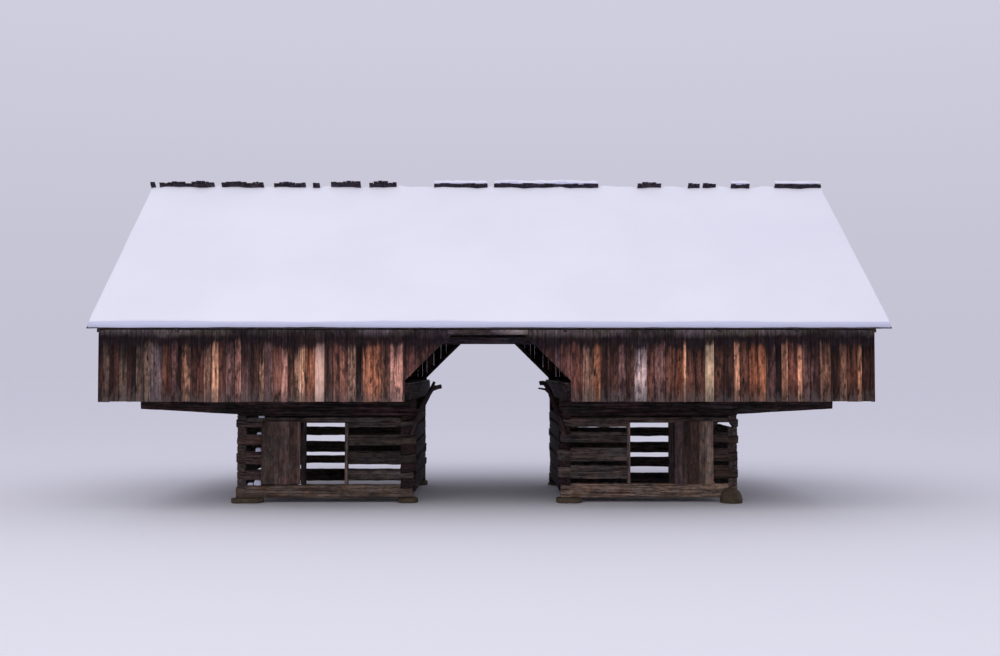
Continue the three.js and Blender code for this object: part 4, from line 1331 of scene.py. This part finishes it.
def slipEave(piece):  # the front eave has slipped to the right, against the ridge
    for v in piece.data.vertices:
        v.co.x += roof["eaveSlip"] * max(-v.co.y, 0) / roof["halfDepth"]


def buildGable(hand, s):
    top = lathBottom - roof["gableGap"]
    half = siding["outer"] - roof["gableInset"]
    parts = []
    for a, b, _ in boardSpans(-half, half, []):
        z1 = roofZ(min(abs(a), abs(b)) if a * b > 0 else 0, top)
        parts.append(upBoard(a, b, siding["bottomZ"], z1, sidingRng.choice(commonTones), gableFrame(s)))
    boards = joinAll(parts, "boards")
    for side in (-1, 1):
        out = (0, side * math.sin(roof["pitch"]), math.cos(roof["pitch"]))
        cutAcross(boards, (0, 0, roofZ(0, top)), out, True)
    finishPiece([boards], f"{hand}_gable_weathered_boards", "siding", f"{hand}_gable_board_wall")


for hand, s in hands:
    buildGable(hand, s)
discard(*sidingModels)
print("gables built")

rafterWear = {**sawnWear, "edge": 0.016, "depth": 0.014}
lathWear = {**boardWear, "segment": 0.3, "across": 1, "depth": 0.005, "stretch": 4}


def eavePlate(wall, side):
    height = roof["plateTopZ"] - drive["topZ"]
    place = onX((0, side * (loft["wallY"] - roof["plate"] / 2), drive["topZ"] + height / 2))
    size = (2 * loft["wallX"], roof["plate"], height)
    plate = member(size, frameWear, roof["plateSpread"], roofRng, place, frameWood)
    # Painted light: the back plate, seen through the drive opening, is brightened and blued as if lit by the sky
    # and the snow
    if wall == "back":
        tint(plate, roof["backPlatePaintedLight"])
    return plate


def joinedRafters(side, local):
    length = slopeLength + roof["rafterSpare"]
    model = timber(length, roof["rafterWidth"], roof["rafterDepth"], rafterWear, roofRng)
    first = loft["wallX"] - roof["rafterWidth"] / 2
    down = local.to_3x3() @ Vector((0, -1, 0))
    out = local.to_3x3() @ Vector((0, 0, 1))
    twins = []
    for i in range(roof["rafters"]):
        twin = copyOf(model)
        markGrain(twin, shadeOf(roofRng, roof["rafterSpread"]), roofRng)
        x = side * (first - 2 * first * i / (roof["rafters"] - 1))
        middle = local @ Vector((x, -slopeLength / 2, lathBottom - roof["rafterDepth"] / 2))
        twin.data.transform(framed(down, out.cross(down), out, middle))
        twins.append(paint(twin, frameWood))
    discard(model)
    rafters = joinAll(twins, "rafters")
    cutAcross(rafters, (0, side * roof["ridgeGap"], 0), (0, -side, 0), True)
    cutAcross(rafters, (0, side * roof["tailY"], 0), (0, side, 0), True)
    # Past the wall the tails are half as deep
    tailStart = siding["outer"] + roof["tailGap"]
    cutAt(rafters, "y", side * tailStart, side * (tailStart + roof["tailStep"]))
    for v in rafters.data.vertices:
        if v.co.y * side > tailStart + roof["tailStep"] / 2:
            v.co.z = max(v.co.z, roofZ(v.co.y * side, lathBottom - roof["rafterDepth"] / 2))
    return rafters


def buildRoofFrame(wall, side):
    local = slopeFrame(side)
    parts = [eavePlate(wall, side), joinedRafters(side, local)]
    model = timber(*roof["lathModel"], roof["lath"] - roof["lathThinner"], lathWear, roofRng)
    for i in range(roof["laths"]):
        u = roof["lathFirst"] + (roof["lathLast"] - roof["lathFirst"]) * i / (roof["laths"] - 1)
        for x0, x1 in splitSpan(-roof["lathHalf"], roof["lathHalf"], *roof["lathLengths"], roofRng):
            width = roof["lathWidth"] * roofRng.uniform(*roof["lathWidths"])
            middle = Matrix.Translation(((x0 + x1) / 2, -u * plumb + width / 2, (lathTop + lathBottom) / 2))
            turn = Matrix.Rotation(roofRng.uniform(-roof["lathTurn"], roof["lathTurn"]), 4, "Z")
            parts.append(layPlank(
                model, roof["lathModel"], x1 - x0 - roof["lathGap"], width, local @ middle @ turn,
                shadeOf(roofRng, roof["lathSpread"]), roofRng, frameWood,
            ))
            slipEave(parts[-1])
    discard(model)
    finishPiece(parts, f"{wall}_rafters_and_laths", "framing", f"{wall}_roof_frame")


for wall, side in walls:
    buildRoofFrame(wall, side)
print("roof frames built")

# Split shakes in lapped courses

def modelShake(butt, head):
    # One shake of 1 m width: X across, Y up the slope with its butt at 0, thinner towards its head
    middle = roof["shakeLength"] / 2
    shake = addCube((1, roof["shakeLength"], butt))
    editEdges(
        shake, lambda a, b: a.y > 0 and b.y > 0, bpy.ops.transform.resize,
        value=(roof["headWidth"], 1, head / butt), center_override=(0, middle, -butt / 2),
    )
    shake.data.transform(Matrix.Translation((0, middle, butt / 2)))
    return shake


def markShake(shake, spread, rng):  # the grain runs up the slope
    markGrain(shake, shadeOf(rng, spread), rng)
    shift = rng.uniform(0, 60)
    for v, point in zip(shake.data.vertices, shake.data.attributes["grain"].data):
        point.vector = (v.co.y + shift, v.co.x, v.co.z + shift)


def shakeRow(x0, x1, rng, model, layers):  # each butt is raised by the layers under it
    parts = []
    for a, b in splitSpan(x0, x1, *roof["shakeWidths"], rng):
        shake = copyOf(model)
        shake.data.transform(Matrix.Diagonal((b - a - rng.uniform(*roof["shakeGap"]), 1, 1, 1)))
        for v in shake.data.vertices:
            v.co.z += layers * roof["shakeThickness"] * (1 - v.co.y / roof["shakeLength"])
        markShake(shake, roof["shakeSpread"], rng)
        shake.data.transform(Matrix.Translation(((a + b) / 2, 0, 0)))
        parts.append(shake)
    return paint(joinAll(parts, "shakeRow"), shakeWood)


def jitterShakes(row, rng):  # each shake is 8 points: moves its butt a little and lifts it
    points = row.data.vertices
    for first in range(0, len(points), 8):
        slide = rng.uniform(-roof["slide"], roof["slide"])
        lift = rng.uniform(-roof["lift"], roof["lift"])
        for v in points[first:first + 8]:
            if v.co.y < roof["shakeLength"] / 2:
                v.co.y += slide
                v.co.z += lift


def buildShakes(wall, side):
    model = modelShake(roof["shakeThickness"], roof["headThickness"])
    half = roof["halfLength"]
    rows = [shakeRow(-half, half, roofRng, model, roof["layers"]) for _ in range(4)]
    local = slopeFrame(side)
    parts = []
    base = -roof["shakes"] + roof["base"]
    count = int((slopeLength - roof["ridgeClear"]) / roof["course"]) + 1
    for i in range(count):
        row = copyOf(rows[i % 4])
        jitterShakes(row, roofRng)
        if i == 0:
            row.data.transform(Matrix.Diagonal((1, 1, roof["eaveCourse"], 1)))
        butt = slopeLength - roof["buttGap"] - i * roof["course"]
        for v in row.data.vertices:
            v.co.y = min(v.co.y, butt - roof["underRidge"])
        row.data.transform(local @ Matrix.Translation((0, -butt, base)))
        parts.append(row)
    # The first course is doubled at the eave
    starter = copyOf(rows[1])
    for v in starter.data.vertices:
        v.co.z *= roof["starterHeight"]
    starter.data.transform(local @ Matrix.Translation((0, roof["starterGap"] - slopeLength, base)))
    parts.append(starter)
    if wall == "back":
        parts += combShakes(local)
    discard(*rows, model)
    shakes = joinAll(parts, "shakes")
    if wall == "front":
        slipEave(shakes)
    finishPiece([shakes], f"{wall}_split_shakes", "shakes", f"{wall}_roof_shakes")


# The comb: the last course of the back slope stands past the ridge in broken runs
comb = {
    "reach": 0.365, "snowyReach": 0.285, "ragged": (-0.022, 0.003), "tail": 0.42, "wornEnd": 0.12,
    "wornReach": 0.74, "dip": 0.12, "snowyDip": 0.5, "waveRate": 1.9, "waveShare": 0.35, "lump": 5.4, "layers": 3,
    "layerBack": 0.03, "layerGap": 0.002, "widths": (0.08, 0.17), "gap": (0.002, 0.014), "spread": 0.35,
    "tone": (0.62, 0.53, 0.72),
    # Start and end of each run, and whether snow lies on it
    "runs": [
        (-9.1, -8.97, False), (-8.86, -7.38, False), (-7.19, -6.05, False), (-5.78, -4.92, False),
        (-4.73, -4.54, False), (-4.24, -3.43, False), (-3.21, -2.46, False), (-1.46, 0, True),
        (0.165, 3.0, True), (4.055, 4.705, False), (5.43, 5.75, False), (5.83, 6.19, False),
        (6.595, 7.11, True), (7.785, 9.055, True),
    ],
}


def combReach(middle, x0, x1, snowy, phase):  # how far the comb stands past the ridge at one place of a run
    fromEnd = min(middle - x0, x1 - middle) / comb["wornEnd"]
    least = comb["wornReach"]
    worn = 1 if snowy else least + (1 - least) * math.sin(min(max(fromEnd, 0), 1) * math.pi / 2)
    wave = 0.5 + 0.5 * math.sin(middle * comb["waveRate"] + 2 * phase)
    lump = 1 - math.sqrt(abs(math.sin(middle * comb["lump"] + phase)))
    wave = comb["waveShare"] * wave + (1 - comb["waveShare"]) * lump
    reach = comb["snowyReach"] if snowy else comb["reach"]
    return (reach - comb["dip"] * wave * (comb["snowyDip"] if snowy else 1)) * worn


def combShakes(local):
    parts = []
    size = roof["shakeThickness"]
    model = addCube((1, 1, size))
    for x0, x1, snowy in comb["runs"]:
        phase = roofRng.uniform(0, 6)
        for layer in range(comb["layers"]):
            for a, b in splitSpan(-x1, -x0, *comb["widths"], roofRng):
                reach = combReach(-(a + b) / 2, x0, x1, snowy, phase)
                reach += roofRng.uniform(*comb["ragged"]) - comb["layerBack"] * layer
                length = reach + comb["tail"]
                shake = copyOf(model)
                width = b - a - roofRng.uniform(*comb["gap"])
                shake.data.transform(Matrix.Diagonal((width, length, 1, 1)))
                markShake(shake, comb["spread"], roofRng)
                tint(shake, comb["tone"])
                z = -size / 2 - layer * (size + comb["layerGap"])
                shake.data.transform(Matrix.Translation(((a + b) / 2, reach - length / 2, z)))
                shake.data.transform(local)
                parts.append(paint(shake, shakeWood))
    discard(model)
    return parts


for wall, side in walls:
    buildShakes(wall, side)
print("shakes laid")

# Snow blankets

snow = {
    "depth": 0.12, "halfLength": 9.112, "lip": 0.06, "drift": 0.03, "fine": 0.012, "combDepth": 0.112,
    "combReach": 0.285, "combTail": 0.12, "cell": 0.13, "droop": 0.03, "droopLength": 0.3,
    "ridgeDrift": 0.075, "ridgeReach": 0.3, "seat": 0.0005, "trim": 0.012, "short": 0.035, "ridgeGap": 0.005,
    "capLip": 0.055, "capCell": 0.09, "capDrift": 0.1, "capGap": 0.02,
}
snowRng = random.Random(97)


def snowBlock(length, width, depth, lip, cell):
    # A blanket with a soft rounded edge; X along the ridge, Y up the slope, its underside at 0
    blanket = addCube((length, width, depth))
    blanket.data.transform(Matrix.Translation((0, 0, depth / 2)))
    onTop = lambda a, b: min(a.z, b.z) > depth * 0.9
    editEdges(blanket, onTop, bpy.ops.mesh.bevel, offset=lip, segments=4, profile=0.5)
    for axis, size in enumerate((length, width)):
        lengthwise = lambda a, b: abs(a[axis] - b[axis]) > 0.5 * size
        editEdges(blanket, lengthwise, bpy.ops.mesh.subdivide, number_cuts=max(3, round(size / cell)))
    return blanket


def combCap(x0, x1, local):  # snow on one run of the comb
    reach, tail = snow["combReach"], snow["combTail"]
    length = x1 - x0 - snow["capGap"]
    cap = snowBlock(length, reach + tail, snow["combDepth"], snow["capLip"], snow["capCell"])
    wearAway(cap, driftTexture, snow["capDrift"], (0.3, 0.3, 0.3), snowRng)
    for v in cap.data.vertices:
        v.co.z = min(max(v.co.z, snow["seat"]), snow["combDepth"])
    cap.data.transform(local @ Matrix.Translation((-(x0 + x1) / 2, (reach - tail) / 2, 0)))
    return paint(cap, softSnow)


def buildSnow(wall, side):
    local = slopeFrame(side)
    width = slopeLength - snow["short"]
    half = snow["halfLength"]
    blanket = snowBlock(2 * half - 0.03, width, snow["depth"] - snow["trim"], snow["lip"], snow["cell"])
    wearAway(blanket, driftTexture, snow["drift"], (1.6, 1.6, 1.6), snowRng)
    wearAway(blanket, driftTexture, snow["fine"], (0.3, 0.3, 0.3), snowRng)
    for v in blanket.data.vertices:
        v.co.z = max(v.co.z, snow["seat"])
        v.co.x = min(max(v.co.x, -half), half)
        nearEave = max(1 - (v.co.y + width / 2) / snow["droopLength"], 0)
        v.co.z -= snow["droop"] * nearEave ** 2 * (1 - v.co.z / snow["depth"])
        if side < 0 and v.co.z > snow["depth"] / 2:  # snow blown up against the comb
            nearRidge = max(1 - (width / 2 - v.co.y) / snow["ridgeReach"], 0)
            wave = 0.5 + 0.28 * math.sin(v.co.x * 4.3) + 0.22 * math.sin(v.co.x * 10.1 + 1)
            v.co.z += snow["ridgeDrift"] * wave * nearRidge
    blanket.data.transform(local @ Matrix.Translation((0, -width / 2 - snow["ridgeGap"], 0)))
    parts = [paint(blanket, softSnow)]
    if wall == "back":
        parts += [combCap(x0, min(x1, half - 0.01), local) for x0, x1, snowy in comb["runs"] if snowy]
    piece = joinAll(parts, "snow")
    for v in piece.data.vertices:
        v.co.y = min(max(v.co.y, -roof["halfDepth"]), roof["halfDepth"])
    if wall == "front":
        slipEave(piece)
    finishPiece([piece], f"{wall}_snow_blanket", "snow", f"{wall}_roof_snow", angle=80)


# Snow blown onto the logs' ledges: start, end, height of the ledge and depth of the snow
ledgeDrifts = [
    (-5.72, -5.58, 2.131, 0.036), (-5.76, -5.65, 1.705, 0.05), (-5.79, -5.66, 1.285, 0.085),
    (-5.98, -5.86, 0.451, 0.05), (-5.83, -5.66, 0.451, 0.12), (-4.72, -4.64, 0.451, 0.06),
]
ledgeDrift = {"width": 0.1, "behindFace": 0.012, "sink": 0.012, "lip": 0.45, "cell": 0.04, "drift": 0.02}


def buildLedgeSnow():
    parts = []
    for x0, x1, z, depth in ledgeDrifts:
        height = depth + ledgeDrift["sink"]
        lip = ledgeDrift["lip"] * height
        drift = snowBlock(x1 - x0, ledgeDrift["width"], height, lip, ledgeDrift["cell"])
        wearAway(drift, driftTexture, ledgeDrift["drift"], (0.1, 0.1, 0.1), snowRng)
        y = -pen["halfDepth"] + ledgeDrift["behindFace"] + ledgeDrift["width"] / 2
        drift.data.transform(Matrix.Translation(((x0 + x1) / 2, y, z - ledgeDrift["sink"])))
        parts.append(paint(drift, softSnow))
    finishPiece(parts, "ledge_snow", "snow", angle=80)


for wall, side in walls:
    buildSnow(wall, side)
buildLedgeSnow()
print("snow laid")

# Forked crooks

crook = {
    "y": -2.4594, "stem": 0.065, "tine": {"left": 0.043, "right": 0.028}, "voxel": 0.011, "taper": 0.14,
    "wear": 0.02, "wearStretch": (0.8, 0.8, 2.0), "gap": 0.001,
    # The stem's route and the second tine's, as X away from the middle and Z
    "left": (
        [
            (1.905, 1.69), (1.85, 1.83), (1.69, 2.25), (1.575, 2.52), (1.45, 2.76), (1.36, 2.87),
            (1.155, 2.9),
        ],
        [(1.42, 2.8), (1.375, 2.93), (1.33, 3.02)],
    ),
    "right": (
        [
            (1.925, 1.64), (1.88, 1.78), (1.8, 2.11), (1.66, 2.45), (1.55, 2.76), (1.46, 2.95),
            (1.375, 3.0), (1.29, 2.975),
        ],
        [(1.53, 2.79), (1.44, 2.825), (1.36, 2.84), (1.265, 2.855)],
    ),
}
# Tones at the foot and the head, and the heights between which they change
crookTones = {
    "left": ((1, 1, 1), (1, 1, 1)), "right": ((1.6, 1.45, 1.3), (0.6, 0.42, 0.46)), "heights": (1.75, 2.25),
}
crookRng = random.Random(101)


def branch(route, s, radius):
    curve = bpy.data.curves.new("branch", "CURVE")
    curve.dimensions = "3D"
    curve.bevel_depth = radius
    curve.bevel_resolution = 4
    curve.use_fill_caps = True
    spline = curve.splines.new("NURBS")
    spline.points.add(len(route) - 1)
    spline.use_endpoint_u = True
    spline.order_u = 3
    for i, (x, z) in enumerate(route):
        spline.points[i].co = (s * x, crook["y"], z, 1)
        spline.points[i].radius = 1.0 - crook["taper"] * i / len(route)
    piece = bpy.data.objects.new("branch", curve)
    bpy.context.scene.collection.objects.link(piece)
    activate(piece)
    bpy.ops.object.convert(target="MESH")
    return bpy.context.object


def buildCrook(hand, s):
    stem, tine = crook[hand]
    branches = [branch(stem, s, crook["stem"]), branch(tine, s, crook["tine"][hand])]
    piece = joinAll(branches, "crook")
    remesh = piece.modifiers.new("remesh", "REMESH")
    remesh.mode = "VOXEL"
    remesh.voxel_size = crook["voxel"]
    applyModifier(piece, remesh)
    wearAway(piece, hewnTexture, crook["wear"], crook["wearStretch"], crookRng)
    for v in piece.data.vertices:
        v.co.y = min(v.co.y, -pen["halfDepth"] - crook["gap"])
    markGrain(piece, (1, 1, 1), crookRng)
    shift = crookRng.uniform(0, 50)
    for v, point in zip(piece.data.vertices, piece.data.attributes["grain"].data):
        point.vector = (v.co.z * 0.9 - s * v.co.x * 0.4 + shift, v.co.x + 0.5 * s * v.co.z, v.co.y)
    foot, head = crookTones[hand]
    low, high = crookTones["heights"]
    share = lambda p: min(max((p.z - low) / (high - low), 0), 1)
    setTone(piece, lambda p, tone: [a + (b - a) * share(p) for a, b in zip(foot, head)])
    paint(piece, crookWood)
    finishPiece([piece], f"{hand}_natural_crook", "crook", f"{hand}_forked_crook", angle=60)


for hand, s in hands:
    buildCrook(hand, s)
print("crooks built")

discard(stretcher)  # only the wear needed it

# Floor, light and camera

stageLook = {
    "floor": (0.86, 0.86, 0.89), "zenith": (0.7, 0.69, 0.81), "horizon": (0.6, 0.59, 0.715), "blendTo": 0.4,
    "worldStrength": 0.92, "keyPower": 3100, "keySize": (40, 25), "keyColour": (1.0, 0.98, 0.96),
    "keyPlace": (-4, -26, 26), "keyAim": (0, 0, 3),
}


def layFloor():
    bpy.ops.object.select_all(action="DESELECT")
    bpy.ops.mesh.primitive_plane_add(size=3000, location=(0, 0, 0))
    floor = bpy.context.object
    floor.name = "pale_floor"
    paint(floor, Shader("paleFloor", 0.9).finish((*stageLook["floor"], 1)))


def lightWorld():  # an overcast sky, a little brighter from above
    world = bpy.data.worlds.new("softWorld")
    sky = NodeSet(world)
    background = sky.nodes["Background"]
    height = sky.split(sky.add("ShaderNodeTexCoord").outputs["Generated"])[2]
    climb = sky.step(height, 0.0, stageLook["blendTo"])
    sky.feed(background.inputs["Color"], sky.mix(climb, stageLook["horizon"], stageLook["zenith"]))
    sky.feed(background.inputs["Strength"], stageLook["worldStrength"])
    bpy.context.scene.world = world
    bpy.context.scene.view_settings.view_transform = "Standard"


def placeInScene(name, data, place, turn):
    holder = bpy.data.objects.new(name, data)
    holder.location = place
    holder.rotation_euler = turn
    bpy.context.scene.collection.objects.link(holder)
    return holder


def addKeyLight():
    lamp = bpy.data.lights.new("softKey", "AREA")
    lamp.shape = "RECTANGLE"
    lamp.size, lamp.size_y = stageLook["keySize"]
    lamp.energy = stageLook["keyPower"]
    lamp.color = stageLook["keyColour"]
    place = Vector(stageLook["keyPlace"])
    turn = (Vector(stageLook["keyAim"]) - place).to_track_quat("-Z", "Y").to_euler()
    placeInScene("softKey", lamp, place, turn)


cameraView = {"place": (-0.02, -32.0, 3.31), "lens": 42.5, "tiltUp": 2.04, "turn": -0.63}


def addCamera():
    lens = bpy.data.cameras.new("camera")
    lens.lens = cameraView["lens"]
    lens.sensor_width = 36
    lens.clip_end = 500
    turn = (math.radians(90 + cameraView["tiltUp"]), 0, math.radians(cameraView["turn"]))
    bpy.context.scene.camera = placeInScene("camera", lens, cameraView["place"], turn)


layFloor()
lightWorld()
addKeyLight()
addCamera()
print("stage set")
